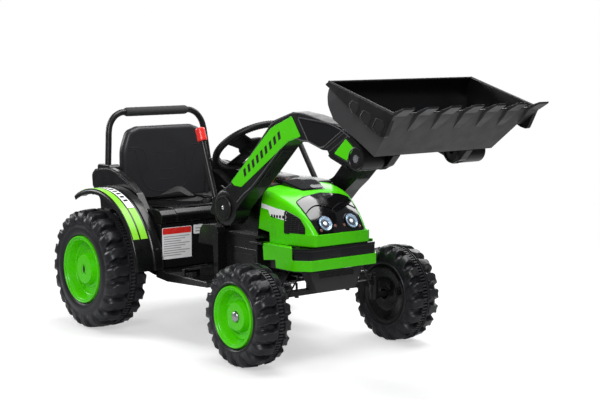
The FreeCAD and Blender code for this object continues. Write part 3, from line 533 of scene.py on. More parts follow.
def screw(centre, direction, radius=4.0):
    """A pan-head screw with a cross recess suggested by its dished top."""
    profile = [(-1, radius), (0.8, radius), (1.8, radius * 0.75), (2.1, radius * 0.45),
               (1.2, radius * 0.3), (1.1, 0)]
    return turned(profile, centre, direction, 20)


# ---------------------------------------------------------------- wheels

def smooth(value, low, high):
    t = min(1, max(0, (value - low) / (high - low)))
    return t * t * (3 - 2 * t)


def lug_height(phase, across, width, tall):
    """How far a tyre stands proud: one block in each pitch, slanted and kinked as it crosses the tread."""
    share = across / width
    kink = 0.07 * math.sin(math.tau * share * 1.2) + 0.34 * share
    phase = (phase + kink) % 1
    block = smooth(phase, 0.04, 0.16) * (1 - smooth(phase, 0.64, 0.78))
    ridge = 0.10 * math.sin(math.tau * (phase * 1.6 + share * 1.5)) * smooth(share, 0.5, 0.8)
    return tall * (block + ridge * block)


def tyre_section(radius, half, rim, band):
    """Half a tyre's section, from the middle of the tread to the rim: place, outward way and lug share.

    A band keeps the first part of the tread raised and free of lugs.
    """
    crown = radius - 13
    edge = half - 21
    points = []
    if band:
        points += [(0, crown + 5.5, 0, 1, 0), (band - 0.6, crown + 5.5, 0, 1, 0)]
    for step in range(9):
        across = band + (edge - band) * step / 8
        rise = 0.15 if band else 1
        points.append((across, crown - 2.5 * (across / edge) ** 2, 0, 1, smooth(step, 0, rise)))
    bend = 17
    for step in range(1, 9):
        angle = math.pi / 2 * step / 8
        share = 1 - 0.72 * smooth(step, 3, 8)
        points.append((edge + bend * math.sin(angle), crown - 2.5 - bend + bend * math.cos(angle),
                       math.sin(angle), math.cos(angle), share))
    wall = edge + bend
    top = crown - 2.5 - bend
    points += [(wall - 0.3, top - 4, 1, 0, 0.12), (wall - 0.2, top - 8, 1, 0, 0)]
    for step in range(1, 6):
        t = step / 5
        out = top - 8 + (rim + 6 - top + 8) * t
        points.append((wall + 2.4 * math.sin(math.pi * t), out, 1, 0, 0))
    points += [(wall - 2.5, rim + 3, 1, 0, 0), (wall - 7, rim + 0.5, 1, 0, 0)]
    return points


def make_tyre(axle, side, lugs, ribs_each):
    sign = SIDES[side]
    node = "%s_tyre_%s" % (axle, side)
    low, high = node_box(node)
    centre_y = (low.y + high.y) / 2
    half = (high.y - low.y) / 2
    radius = (high.z - low.z) / 2
    centre = at((low.x + high.x) / 2, centre_y, radius)
    rim = radius * 0.56 if axle == "rear" else radius * 0.595
    sections = {1: tyre_section(radius, half, rim, 0), -1: tyre_section(radius, half, rim, 17)}
    columns = lugs * 16
    rows = []
    for column in range(columns):
        angle = math.tau * column / columns
        radial = Vector((math.cos(angle), 0, math.sin(angle)))
        phase = lugs * angle / math.tau
        row = []
        for way, offset in ((1, 0.0), (-1, 0.5)):
            ring = []
            for across, out, side_way, out_way, share in sections[way]:
                tall = lug_height(phase + offset, across, half, 13) * share
                place = across + tall * side_way * 0.34
                aside = Vector((0, sign * way * place, 0))
                ring.append(centre + (radial * (out + tall * out_way) + aside) * MM)
            row += ring[::-1] if way > 0 else ring[1:]
        rows.append(row)
    piece = Piece("%s_tyre_skin_%s" % (axle, side))
    piece.add(skin(rows, looped=True), TYRE)
    crown = radius - 13
    seam = [(sign * 2.2, crown + 4), (sign * 1.4, crown + 11), (-sign * 0.4, crown + 11),
            (-sign * 1.4, crown + 4)]
    piece.add(turned(seam, centre, segments=120), TYRE)
    count = lugs * ribs_each
    ribs = bmesh.new()
    for number in range(count):
        angle = math.tau * number / count
        radial = Vector((math.cos(angle), 0, math.sin(angle)))
        along = Vector((-math.sin(angle), 0, math.cos(angle)))
        wide = math.pi * crown / count * 0.6
        corners = []
        for across in (-3.2, -16.2):
            for out, spread_ in ((crown + 4, 1.0), (crown + 9.6, 0.66)):
                for way in (-1, 1):
                    offset = radial * out + along * way * wide * spread_ + Vector((0, sign * across, 0))
                    corners.append(ribs.verts.new(centre + offset * MM))
        for face in ((0, 1, 3, 2), (4, 6, 7, 5), (0, 4, 5, 1), (2, 3, 7, 6), (0, 2, 6, 4), (1, 5, 7, 3)):
            ribs.faces.new([corners[corner] for corner in face])
    bmesh.ops.recalc_face_normals(ribs, faces=ribs.faces)
    piece.add(ribs, TYRE)
    wall = half - 4
    bore = 20 if axle == "rear" else 14
    back = [(-wall + 3, rim + 2), (-wall + 1, rim - 4), (-wall + 4, rim - 10), (-wall + 9, rim * 0.6),
            (-wall + 6, rim * 0.55), (-wall + 6, bore + 8), (-wall + 4, bore + 6), (-wall + 4, bore)]
    piece.add(turned([(sign * along, out) for along, out in back], centre), BODY_BLACK)
    piece.done("%s_wheel_%s" % (axle, side), "tyre_plastic", node, crease=50)
    make_rim(axle, side, centre, sign, half, rim)


def make_rim(axle, side, centre, sign, half, rim):
    """A deep dished rim: a double lip, a cone, a stepped floor with bosses, and a raised hub."""
    hub = rim * (0.43 if axle == "rear" else 0.46)
    floor = half - 31
    face = half - 12
    profile = [
        (half - 12, rim + 1.2), (half - 3, rim + 0.6), (half - 1.4, rim - 0.8), (half - 1.2, rim - 3),
        (half - 2.6, rim - 4.5), (half - 4.4, rim - 5), (half - 4.8, rim - 7), (half - 4.2, rim - 8.6),
        (half - 6, rim - 10.5), (half - 12, rim - 13), (floor + 3, rim - 17), (floor + 0.6, rim - 19),
        (floor, rim - 21), (floor, hub + 14), (floor + 2, hub + 12.4), (floor + 2.2, hub + 6),
        (floor + 4, hub + 4.6), (face - 3, hub + 0.6), (face - 0.8, hub - 0.4), (face, hub - 2.4),
        (face, 15.5), (face - 0.6, 14.6), (face - 3.4, 14), (face - 3.4, 7),
    ]
    direction = (0, sign, 0)
    piece = Piece("%s_rim_dish_%s" % (axle, side))
    piece.add(turned(profile, centre, direction, 96), RIM_GREEN)
    barrel = [(half - 12, rim + 1), (8 - half, rim - 0.5), (8 - half, rim - 5), (floor - 4, rim - 6),
              (floor - 4, 7.5), (face - 3.4, 7)]
    piece.add(turned(barrel, centre, direction, 64), BODY_BLACK)
    middle = (rim - 21 + hub + 14) / 2
    for number in range(5):
        angle = math.tau * (number + 0.3) / 5
        place = centre + Vector((middle * math.cos(angle), sign * floor, middle * math.sin(angle))) * MM
        boss = [(-1, 6.2), (3.4, 5.4), (4.2, 4.6), (4.2, 2.6), (2.4, 2.2), (2.2, 0)]
        piece.add(turned(boss, place, direction, 20), RIM_GREEN)
    raised = []
    for step in range(13):
        angle = math.radians(-34 + 68 * step / 12) + (math.pi * 1.5 if axle == "front" else 0.15)
        spread_ = 5.5 + 2.5 * math.sin(math.pi * step / 12)
        raised.append((angle, spread_))
    rows = []
    for angle, wide in raised:
        row = []
        for out, along in ((-wide, 0), (-wide * 0.7, 4.5), (wide * 0.7, 4.5), (wide, 0)):
            reach = middle + out
            offset = Vector((reach * math.cos(angle), sign * (floor + along), reach * math.sin(angle)))
            row.append(centre + offset * MM)
        rows.append(row)
    piece.add(skin(rows, ends=True), RIM_GREEN)
    body = "%s_wheel_%s" % (axle, side)
    piece.done(body, "green_plastic", "%s_rim_%s" % (axle, side))
    cap = Piece("%s_hub_cap_%s" % (axle, side))
    if axle == "front":
        dome = [(face - 3, 13.6), (face + 1.2, 13.2), (face + 3.6, 11.4), (face + 4.8, 8), (face + 5.2, 4),
                (face + 5.3, 0)]
        cap.add(turned(dome, centre, direction, 40), CAP_GREY)
        cap.done(body, "steel")
        return
    dish = [(face - 3.2, 13.8), (face - 0.8, 13.4), (face - 0.2, 12), (face - 0.2, 0)]
    cap.add(turned(dish, centre, direction, 40), RIM_GREEN)
    slot = [(5.2 * math.cos(a), 10.5 * math.sin(a)) for a in (math.tau * k / 28 for k in range(28))]
    outline = [(centre_x(centre) + u, centre.z / MM + v) for u, v in slot]
    low, high = sorted((centre.y / MM + sign * (face - 0.4), centre.y / MM + sign * (face + 0.5)))
    cap.add(prism(outline, low, high, bevel=0.3), MATT_BLACK)
    bar = [(centre_x(centre) + u, centre.z / MM + v) for u, v in ((-1.4, -8), (1.4, -8), (1.4, 8), (-1.4, 8))]
    low, high = sorted((centre.y / MM + sign * (face + 0.4), centre.y / MM + sign * (face + 1.1)))
    cap.add(prism(bar, low, high, bevel=0.3), DARK_GREY)
    cap.done(body, "black_plastic")


def centre_x(point):
    return (point.x - REAR_AXLE_X) / MM


# ---------------------------------------------------------------- rear body

FENDER_TIP, FENDER_FOOT, STRIPE_FOOT = 118, 4, 27


def fender_point(radius, degrees, y):
    angle = math.radians(degrees)
    return at(radius * math.cos(angle), y, REAR_AXLE_Z + radius * math.sin(angle))


def arc_band(sign, radius, outer, inner, start, end, steps=30):
    """A thin band that follows the mudguard between two angles."""
    rows = []
    for step in range(steps + 1):
        degrees = start + (end - start) * step / steps
        rows.append([fender_point(radius, degrees, sign * y) for y in (outer, inner)])
    return thickened(skin(rows), 0.5)


def make_fender(side):
    sign = SIDES[side]
    radius = 220
    section = [
        (291, -14), (292, -9), (291.5, -4), (289, -1), (285, 0), (262, 0.8), (240, 0.4), (236.5, 1.6),
        (234, 4.2), (228, 5), (214, 5), (209, 3.5), (206.5, 0), (206.5, -4), (212, -1), (230, -1.5),
        (238, -5), (284, -5), (287, -8), (287, -14),
    ]
    rows = []
    for step in range(61):
        degrees = FENDER_TIP + (FENDER_FOOT - FENDER_TIP) * step / 60
        taper = smooth(step, 0, 9)
        row = []
        for y, out in section:
            narrowed = 292 - (292 - y) * (0.72 + 0.28 * taper)
            row.append(fender_point(radius + out, degrees, sign * narrowed))
        rows.append(row)
    piece = Piece("mudguard_%s" % side)
    piece.add(skin(rows, closed=True, ends=True), BODY_BLACK)
    piece.add(arc_band(sign, radius + 1.3, 287, 268, FENDER_TIP - 1.5, STRIPE_FOOT), STRIPE)
    piece.add(arc_band(sign, radius + 1.5, 263, 242, 53, STRIPE_FOOT), STRIPE)
    piece.add(arc_band(sign, radius + 1.5, 263, 242, 115, 53.6), WHITE)
    for number in range(10):
        start = 108 - number * 5
        piece.add(arc_band(sign, radius + 2.1, 259, 246, start, start - 2.2, 3), MATT_BLACK)
    piece.add(screw(fender_point(radius + 4, 18, sign * 222), (0.95, 0, 0.3), 4.5), MATT_BLACK)
    piece.done("chassis", "black_plastic", "fender_%s" % side)


def make_armrest(side):
    """The side cover between seat and mudguard: a rolled outer ridge over a shelf that falls inwards."""
    sign = SIDES[side]
    ridge = [(-98, 300.5), (-104, 344, 20), (-143, 377, 10), (-147, 411, 16), (-128, 427, 14), (-57, 434, 40),
             (-14, 427, 24), (8, 417, 16), (46, 403, 30), (90, 375, 20), (124, 333, 20), (136, 300.5)]
    shelf = [(-98, 300.5), (-104, 344, 20), (-138, 374, 10), (-140, 404, 12), (-65, 407, 16), (-26, 393, 20),
             (25, 366, 20), (70, 340, 16), (128, 320, 10), (136, 300.5)]
    piece = Piece("side_cover_%s" % side)
    low, high = sorted((sign * 186, sign * 207))
    piece.add(prism(rounded(ridge, 2), low, high, bevel=8, steps=4), BODY_BLACK)
    low, high = sorted((sign * 158, sign * 190))
    piece.add(prism(rounded(shelf, 2), low, high, bevel=5, steps=3), BODY_BLACK)
    # the ridge tube is dark grey, lighter than the black body: a painted highlight along the rolled ridge
    line = curve_through([at(-132, sign * 203, 410), at(-122, sign * 203, 423), at(-57, sign * 203, 430),
                          at(-12, sign * 203, 422), at(10, sign * 203, 412), at(46, sign * 203, 398),
                          at(84, sign * 203, 376)], 7)
    piece.add(tube(line, 4.6, 12), DARK_GREY)
    low, high = sorted((sign * 160, sign * 196))
    stand = [(-134, 398), (-135, 436, 8), (-128, 441, 8), (-74, 441, 8), (-67, 434, 6), (-66, 398)]
    piece.add(prism(rounded(stand, 4), low, high, bevel=3, steps=3), BODY_BLACK)
    piece.done("chassis", "black_plastic", "armrest_%s" % side)


def make_roll_bar():
    """A bent tube between the side covers, with a foam sleeve on its crossbar."""
    low, high = node_box("foam_grip")
    bar_low, bar_high = node_box("roll_bar")
    top = (low.z + high.z) / 2
    back = (low.x + high.x) / 2
    radius = bar_high.z - top
    half = bar_high.y - radius
    legs = []
    for sign in (-1, 1):
        legs.append([at(back + 18, sign * half, bar_low.z + 2), at(back + 9, sign * (half - 9), top - 85),
                     at(back + 5.5, sign * (half - 12.5), top - 54),
                     at(back + 3, sign * (half - 19), top - 32),
                     at(back + 1.4, sign * (half - 33), top - 13.5),
                     at(back + 0.4, sign * (half - 51), top - 3.2),
                     at(back, sign * (half - 70), top), at(back, sign * 50, top), at(back, sign * 2, top)])
    route = curve_through(legs[0] + legs[1][::-1], 6)
    bar = Piece("roll_bar_tube")
    bar.add(tube(route, radius, 16), POWDER)
    bar.done("chassis", "black_paint", "roll_bar")
    centre = at((low.x + high.x) / 2, 0, (low.z + high.z) / 2)
    radius = (high.z - low.z) / 2
    reach = high.y
    profile = []
    for step in range(41):
        along = -reach + 2 * reach * step / 40
        swell = 0.25 * math.sin(along * 0.35) + 0.2 * math.sin(along * 0.9 + 1)
        profile.append((along, radius - 0.4 + swell * 0.4))
    profile[0] = (-reach, 8.2)
    profile.insert(1, (-reach + 0.2, radius - 2))
    profile[-1] = (reach, 8.2)
    profile.insert(-1, (reach - 0.2, radius - 2))
    sleeve = Piece("foam_sleeve")
    sleeve.add(turned(profile, centre, segments=40), FOAM)
    sleeve = sleeve.done("chassis", "foam_rubber", "foam_grip")


# Embossed lines on the backrest, as (out, up) for one side.
SEAT_SHOULDER = [(128, 486), (94, 485), (77, 475), (68, 455), (65, 420)]
SEAT_FLANK = [(130, 481), (107, 478), (96, 445), (82, 394), (64, 368), (34, 357), (0, 355)]


def make_seat_back():
    """A moulded backrest: a rolled rim round a recessed panel with embossed lines."""
    low, high = node_box("seat_back")
    front, rear = high.x, low.x
    half, foot = high.y, low.z
    outline = [(-half, foot), (-half, foot + 150, 90), (-126, 534, 26), (-92, 546, 30), (92, 546, 30),
               (126, 534, 26), (half, foot + 150, 90), (half, foot)]
    piece = Piece("backrest_shell")
    piece.add(prism(rounded(outline, 0), rear, front - 0.5, axis="x", bevel=13, steps=5), SEAT_GREY)
    panel = inset(rounded(outline, 0), 20)
    piece.add(prism(panel, front - 12, front - 1.2, axis="x", bevel=5, steps=3), SEAT_GREY)
    face = front - 1.2
    for sign in (-1, 1):
        for corners in (SEAT_SHOULDER, SEAT_FLANK):
            line = curve_through([(sign * out, up, 0) for out, up in corners], 7)
            piece.add(tube([at(face, y, z) for y, z, _ in line], 1.5, 6), SEAT_GREY)
    for width, z in ((34, 470), (30, 420), (30, 392)):
        line = []
        for step in range(9):
            sag = 3 * math.sin(math.pi * step / 8)
            line.append(at(face, width - 2 * width * step / 8, z - sag))
        piece.add(tube(line, 1.1, 6), SEAT_GREY)
    for sign in (-1, 1):
        edge = [at(face, sign * out, up) for out, up in ((36, 474), (32, 430), (34, 388))]
        piece.add(tube(edge, 1.1, 6), SEAT_GREY)
    piece.done("chassis", "dark_grey_plastic", "seat_back")


def make_seat_cushion():
    """The moulded cushion, rolled down at the front, with a raised wing each side."""
    low, high = node_box("seat_cushion")
    back = low.x
    outline = [(back, 301), (back, 331, 8), (-40, 330, 30), (60, 333, 60), (166, 342, 30), (196, 341, 18),
               (212, 326, 14), (211, 306, 8), (204, 301)]
    piece = Piece("seat_pan")
    piece.add(prism(rounded(outline, 2, 7), -156, 156, bevel=8, steps=3), BODY_BLACK)
    for sign in (-1, 1):
        wing = [(140, 301), (142, 334, 10), (178, 341, 16), (198, 338, 14), (211, 324, 10), (210, 306, 6),
                (204, 301)]
        low_y, high_y = sorted((sign * 150, sign * high.y))
        piece.add(prism(rounded(wing, 2), low_y, high_y, bevel=6, steps=3), BODY_BLACK)
        path = [at(x, sign * 118, z) for x, z in ((-30, 330.5), (20, 332), (70, 334), (120, 338), (160, 342))]
        piece.add(tube(curve_through(path), 2.5, 8), BODY_BLACK)
    piece.add(tube(curve_through([at(196, y, 341.5) for y in (-118, -60, 0, 60, 118)]), 2.0, 8), BODY_BLACK)
    piece.done("chassis", "black_plastic", "seat_cushion")


def ribbon(path, width, thick, roll):
    """A flat strap along a path: roll gives its twist at each point, in degrees."""
    rows = []
    for number, point in enumerate(path):
        before = path[max(0, number - 1)]
        after = path[min(len(path) - 1, number + 1)]
        tangent = (after - before).normalized()
        side = tangent.cross(Vector((0, 0, 1))).normalized()
        up = side.cross(tangent).normalized()
        turn = math.radians(roll(number / (len(path) - 1)))
        across = side * math.cos(turn) + up * math.sin(turn)
        normal = across.cross(tangent).normalized()
        row = []
        for u, v in ((-1, -1), (-1, 1), (-0.6, 1.25), (0.6, 1.25), (1, 1), (1, -1)):
            row.append(point + (across * u * width / 2 + normal * v * thick / 2) * MM)
        rows.append(row)
    return skin(rows, closed=True, ends=True)


def make_seat_belt():
    """The lap belt: two straps that meet at the buckle, and a loose tail."""
    right = curve_through([at(-52, -146, 337), at(-30, -128, 344), at(8, -104, 348), at(34, -70, 362),
                           at(52, -40, 372), at(70, -20, 358), at(92, -6, 352)], 8)
    left = curve_through([at(-40, 148, 337), at(-6, 122, 344), at(26, 92, 346), at(60, 70, 350),
                          at(84, 52, 356), at(102, 34, 358), at(112, 16, 354)], 8)
    tail = curve_through([at(116, -10, 354), at(130, -30, 350), at(128, -58, 349), at(104, -84, 348),
                          at(76, -98, 347)], 8)
    piece = Piece("lap_belt")
    piece.add(ribbon(right, 25, 1.6, lambda t: 30 * math.sin(7 * t)), WEBBING)
    piece.add(ribbon(left, 25, 1.6, lambda t: 22 * math.sin(6 * t + 1)), WEBBING)
    piece.add(ribbon(tail, 25, 1.6, lambda t: 14 * math.sin(5 * t)), WEBBING)
    piece.done("chassis", "webbing", "seat_belt", crease=60)
    buckle = Piece("side_release_buckle")
    plan = [(86, -14, 4), (92, -17, 4), (112, -17, 5), (132, -11, 5), (132, 11, 5), (112, 17, 5), (92, 17, 4),
            (86, 14, 4)]
    buckle.add(prism(rounded(plan, 3), 351, 361, axis="z", bevel=2.5, steps=3), MATT_BLACK)
    for y in (-12, 12):
        tab = [(96, y - 4), (116, y - 3), (116, y + 3), (96, y + 4)]
        buckle.add(prism(rounded(tab, 2), 354, 362, axis="z", bevel=1.2), DARK_GREY)
    for x in (84, 134):
        bar = [at(x, -13, 355), at(x, 13, 355)]
        buckle.add(tube(bar, 2.2, 10), MATT_BLACK)
    buckle.done("chassis", "matte_black_plastic", "belt_buckle")


def make_seat_box():
    """The body under the seat, with its labels, side vents and rear slots."""
    low, high = node_box("seat_box")
    face = high.x
    extras = []
    label = [(-201, 204), (-105, 204), (-105, 290), (-201, 290)]
    extras.append((prism(rounded(label, 3), face + 0.1, face + 0.7, axis="x"), WHITE))
    header = [(-199.5, 272), (-106.5, 272), (-106.5, 288.5), (-199.5, 288.5)]
    extras.append((prism(rounded(header, 2), face + 0.6, face + 1.0, axis="x"), RED))
    for number in range(9):
        z = 265 - number * 6.4
        end = -112 - 14 * (number % 3)
        line = [(-196, z - 1), (end, z - 1), (end, z + 1), (-196, z + 1)]
        extras.append((prism(line, face + 0.6, face + 0.9, axis="x"), STICKER_GREY))
    tag = [(-98, 266), (-66, 266), (-66, 291), (-98, 291)]
    extras.append((prism(rounded(tag, 3), face + 0.1, face + 0.7, axis="x"), WHITE))
    for z in (272, 280):
        bar = [(-92, z), (-72, z), (-72, z + 3), (-92, z + 3)]
        extras.append((prism(bar, face + 0.6, face + 0.9, axis="x"), STICKER_GREY))
    for sign in (-1, 1):
        y = sign * high.y
        for x in (-62, 14, 90):
            vent = [(x - 30, 226), (x + 30, 226), (x + 30, 284), (x - 30, 284)]
            extras.append((bead(rounded(vent, 10), y, 1.4), BODY_BLACK))
    for number in range(4):
        y = -70 + number * 36
        slot = [(y, 214), (y + 24, 214), (y + 24, 272), (y, 272)]
        extras.append((bead(rounded(slot, 6), low.x, 1.4, axis="x"), BODY_BLACK))
    eased("seat_box", "seat_base_shell", "black_plastic", BODY_BLACK, 5, extras)


# ---------------------------------------------------------------- front body

def rails():
    """Raised lips and pads on the floor tray, where the rider's feet go."""
    extras = []
    for sign in (-1, 1):
        for number in range(7):
            x = 250 + number * 11
            path = [at(x, sign * 176, 172.4), at(x, sign * 206, 172.4)]
            extras.append((tube(path, 1.6, 6), BODY_BLACK))
        lip = [at(200, sign * 212, 179), at(240, sign * 213, 173.5), at(430, sign * 213, 173.5)]
        extras.append((tube(lip, 2.6, 8), BODY_BLACK))
    return extras


def make_tower():
    """The dash pedestal's relief."""
    extras = []
    for sign in (-1, 1):
        low, high = sorted((sign * 120, sign * 141))
        ledge = [(430, 296), (556, 296), (560, 299), (556, 302), (430, 302)]
        extras.append((prism(rounded(ledge, 1.5), low, high, bevel=1.2), BODY_BLACK))
        ledge = [(514, 279), (569, 281), (569, 287), (514, 285)]
        extras.append((prism(rounded(ledge, 1.5), low, high, bevel=1.2), BODY_BLACK))
        ledge = [(420, 262), (545, 262), (545, 265), (420, 265)]
        low, high = sorted((sign * 130, sign * 140))
        extras.append((prism(ledge, low, high, bevel=1), BODY_BLACK))
        panel = [(428, 186), (536, 186), (536, 250), (428, 250)]
        extras.append((bead(rounded(panel, 8), sign * 138, 1.5), BODY_BLACK))
    eased("front_tower", "pedestal_shell", "black_plastic", BODY_BLACK, 4, extras)
    eased("side_consoles", "console_mouldings", "black_plastic", BODY_BLACK, 2)
    eased("floor_pan", "floor_tray", "black_plastic", BODY_BLACK, 2.5, rails())


def make_dashboard():
    """The dashboard with two round dials on its cowl."""
    extras = []
    top = node_box("dashboard")[1].z
    for y, radius in ((-17, 13), (17, 13)):
        centre = at(436, y, top - 2)
        ring = [(0, radius), (3, radius - 1), (3, radius - 3), (1.4, radius - 3.6), (1.2, 0)]
        extras.append((turned(ring, centre, (0.1, 0, 1), 36), GLOSS_BLACK))
        for number in range(9):
            angle = math.radians(-30 + 240 * number / 8)
            inner = centre + Vector((math.sin(angle), math.cos(angle), 0)) * (radius - 7) * MM
            outer = centre + Vector((math.sin(angle), math.cos(angle), 0)) * (radius - 4.4) * MM
            rise = Vector((0, 0, 1.9)) * MM
            extras.append((tube([inner + rise, outer + rise], 0.5, 6), WHITE))
    eased("dashboard", "dash_panel", "black_plastic", BODY_BLACK, 3, extras)
    eased("start_button", "starter_button", "green_plastic", GREEN, 1.2)
    eased("direction_rocker", "drive_rocker", "red_plastic", RED, 1.2)


# Bonnet sections: distance ahead, foot height, half width at the foot, where the shoulder starts and ends
# (out, up), and the height of the middle.
BONNET = [
    (519, 319, 118, (116, 398), (104, 424), 431),
    (545, 316, 118, (115, 395), (101, 421), 428),
    (571, 313.5, 118, (115, 390), (98, 416), 424),
    (573, 287, 118, (115, 389), (98, 415.5), 423.7),
    (600, 287, 118, (114, 383), (95, 409), 419),
    (625, 287, 114, (110, 371), (91, 399), 410.5),
    (650, 287, 108, (104, 355), (85, 385), 397.5),
    (672, 287, 102, (98.5, 340), (80, 368), 378.5),
    (690, 287, 97, (94, 326), (77, 350), 358.5),
    (704, 287, 92.5, (90, 314), (74.5, 333), 338),
    (713, 287, 89, (87, 305), (73, 319), 322),
    (717, 287, 87, (85.5, 300), (72, 312), 315.5),
]


def bonnet_section(x, foot, half, start, end, middle):
    """One side of a section, from its foot up over the shoulder to the middle line."""
    corner = Vector(((start[0] + end[0]) / 2 + (start[0] - end[0]) * 0.22,
                     (start[1] + end[1]) / 2 + (end[1] - start[1]) * 0.22))
    marks = [
        (half, foot), (half - 0.5, foot + (start[1] - foot) * 0.5), start, tuple(corner), end,
        (end[0] * 0.55, end[1] + (middle - end[1]) * 0.72), (0, middle),
    ]
    line = curve_through([(y, z, 0) for y, z in marks], 5)
    points = [(y, z) for y, z, _ in line]
    return [at(x, -y, z) for y, z in points] + [at(x, y, z) for y, z in points[-2::-1]]


def between(first, second, t):
    if isinstance(first, tuple):
        return tuple(between(a, b, t) for a, b in zip(first, second))
    return first + (second - first) * t


def bonnet_rows():
    rows = []
    for first, second in zip(BONNET, BONNET[1:]):
        steps = max(1, round((second[0] - first[0]) / 7))
        for step in range(steps):
            rows.append(bonnet_section(*between(first, second, step / steps)))
    rows.append(bonnet_section(*BONNET[-1]))
    return rows


def make_bonnet():
    """The green bonnet and what is set in it."""
    rows = bonnet_rows()
    smooth_rows = []
    for number, row in enumerate(rows):
        before = rows[max(0, number - 1)]
        after = rows[min(len(rows) - 1, number + 1)]
        smooth_rows.append([b if number in (0, len(rows) - 1) else (a + b * 2 + c) / 4
                            for a, b, c in zip(before, row, after)])
    for number, row in enumerate(smooth_rows):
        row[:6] = rows[number][:6]
        row[-6:] = rows[number][-6:]
    skin_part = skin(smooth_rows)
    nose = bmesh.new()
    nose.faces.new([nose.verts.new(point) for point in smooth_rows[-1]])
    mesh = bpy.data.meshes.new("nose")
    nose.to_mesh(mesh)
    nose.free()
    skin_part.from_mesh(mesh)
    bpy.data.meshes.remove(mesh)
    bmesh.ops.remove_doubles(skin_part, verts=skin_part.verts, dist=1e-6)
    bmesh.ops.recalc_face_normals(skin_part, faces=skin_part.faces)
    surface = BVHTree.FromBMesh(skin_part)
    piece = Piece("bonnet_shell")
    piece.add(thickened(skin_part, 3), GREEN)
    plan = [(634, -111.5, 0), (650, -110, 10), (717, -91, 6), (720.5, -84, 6), (720.5, 84, 6), (717, 91, 6),
            (650, 110, 10), (634, 111.5, 0)]
    outer = rounded(plan, 3)
    inner = inset(outer, 5)
    strip = list(outer) + list(inner[::-1])
    piece.add(prism(strip, 288.5, 317.5, axis="z", bevel=1.6, steps=3), GREEN)
    for sign in (-1, 1):
        sticker = [(537, 384), (631, 371), (631, 347), (574, 355), (566, 369), (538, 372)]
        part = patch(sticker, sign * 200, pitch=9)
        piece.add(thickened(drape(part, surface, (0, -sign, 0), 0.9), 0.5), WHITE)
        for number in range(5):
            x = 578 + number * 10
            mark = [(x, 352.6), (x + 6, 351.9), (x + 6.6, 359), (x + 0.6, 359.7)]
            part = patch(mark, sign * 200, pitch=9)
            piece.add(thickened(drape(part, surface, (0, -sign, 0), 1.2), 0.4), MATT_BLACK)
    piece.done("chassis", "green_plastic", "bonnet", crease=45)
    make_mask(surface)
    make_window(surface)
    make_vents(surface)


def slope_outline(points):
    """Mask outlines, given as (out, down the slope from its top edge), as points for a patch in plan."""
    return [(631 + point[1] * 0.67, point[0], *point[2:]) for point in points]


MASK = [(0, -3, 60), (60, 2, 40), (86, 10, 6), (84, 55, 60), (74, 126, 8), (-74, 126, 8), (-84, 55, 60),
        (-86, 10, 6), (-60, 2, 40)]


def make_mask(surface):
    """A glossy black panel across the nose, with two round headlights and small lamps beside them."""
    way = (0, 0, -1)
    piece = Piece("headlight_panel")
    outline = rounded(slope_outline(MASK), 4)
    part = patch(outline, 460, axis="z", pitch=5)
    piece.add(thickened(drape(part, surface, way, 1.6), 1.4), GLOSS_BLACK)
    ring = [surface_point(surface, x, y, way, 1.6) for x, y in outline]
    piece.add(tube(ring, 1.3, 6, closed=True), MATT_BLACK)
    brow = []
    for step in range(33):
        out = -80 + 160 * step / 32
        down = 66 - 16 * abs(math.sin(math.pi * (out + 80) / 80)) + 4 * math.cos(math.pi * out / 80)
        (x, y), = slope_outline([(out, down)])
        brow.append(surface_point(surface, x, y, way, 2.2))
    piece.add(tube(brow, 1.6, 6), GLOSS_BLACK)
    keel = [surface_point(surface, *slope_outline([(0, down)])[0], way, 2.2) for down in range(70, 124, 6)]
    piece.add(tube(keel, 2.2, 6), GLOSS_BLACK)
    piece.done("chassis", "black_plastic", "headlight_mask", crease=45)
    lenses = Piece("headlights")
    for sign in (-1, 1):
        centre = at(699.5, sign * 43, 341)
        direction = Vector((0.86, sign * 0.06, 0.51))
        bezel = [(0, 23), (4.6, 22.6), (6, 21.6), (6, 20), (3.6, 19.2)]
        lenses.add(turned(bezel, centre, direction, 48), GLOSS_BLACK)
        dish = [(3.8, 19.6), (4.6, 18.6), (2.6, 15.5), (3.4, 14.4), (3.2, 13.4), (0.6, 10.5)]
        lenses.add(turned(dish, centre, direction, 48), LAMP_BLUE)
        inner = [(0.8, 10.6), (3.2, 10.2), (3.4, 9.2), (1.6, 8.4), (1.2, 5)]
        lenses.add(turned(inner, centre, direction, 40), GLOSS_BLACK)
        bulb = [(0.8, 5.6), (3.6, 5.0), (5.2, 3), (5.6, 0)]
        lenses.add(turned(bulb, centre, direction, 32), LAMP_WHITE)
        cover = [(5.0, 20), (7.2, 15), (8.4, 8), (8.8, 0)]
        lenses.add(turned(cover, centre, direction, 48), CLEAR)
        small = surface_point(surface, 706, sign * 15, way, 1.6)
        chip = [(0, 4.2), (1.2, 3.9), (1.6, 2.8), (1.7, 0)]
        lenses.add(turned(chip, small, direction, 20), LAMP_AMBER)
        small = surface_point(surface, 709, sign * 63, way, 1.6)
        lenses.add(turned(chip, small, direction, 20), LAMP_AMBER)
    lenses.done("chassis", "clear_glass", "headlight_lenses")


def surface_point(surface, x, y, way, lift):
    """The point of the bonnet met along a way from above (x, y), lifted off it."""
    way = Vector(way).normalized()
    start = at(x, y, 460) - way * 0.1
    hit, normal, _, _ = surface.ray_cast(start, way)
    if hit is None:
        return at(x, y, 400)
    normal = -normal if normal.dot(way) > 0 else normal
    return hit + normal * lift * MM


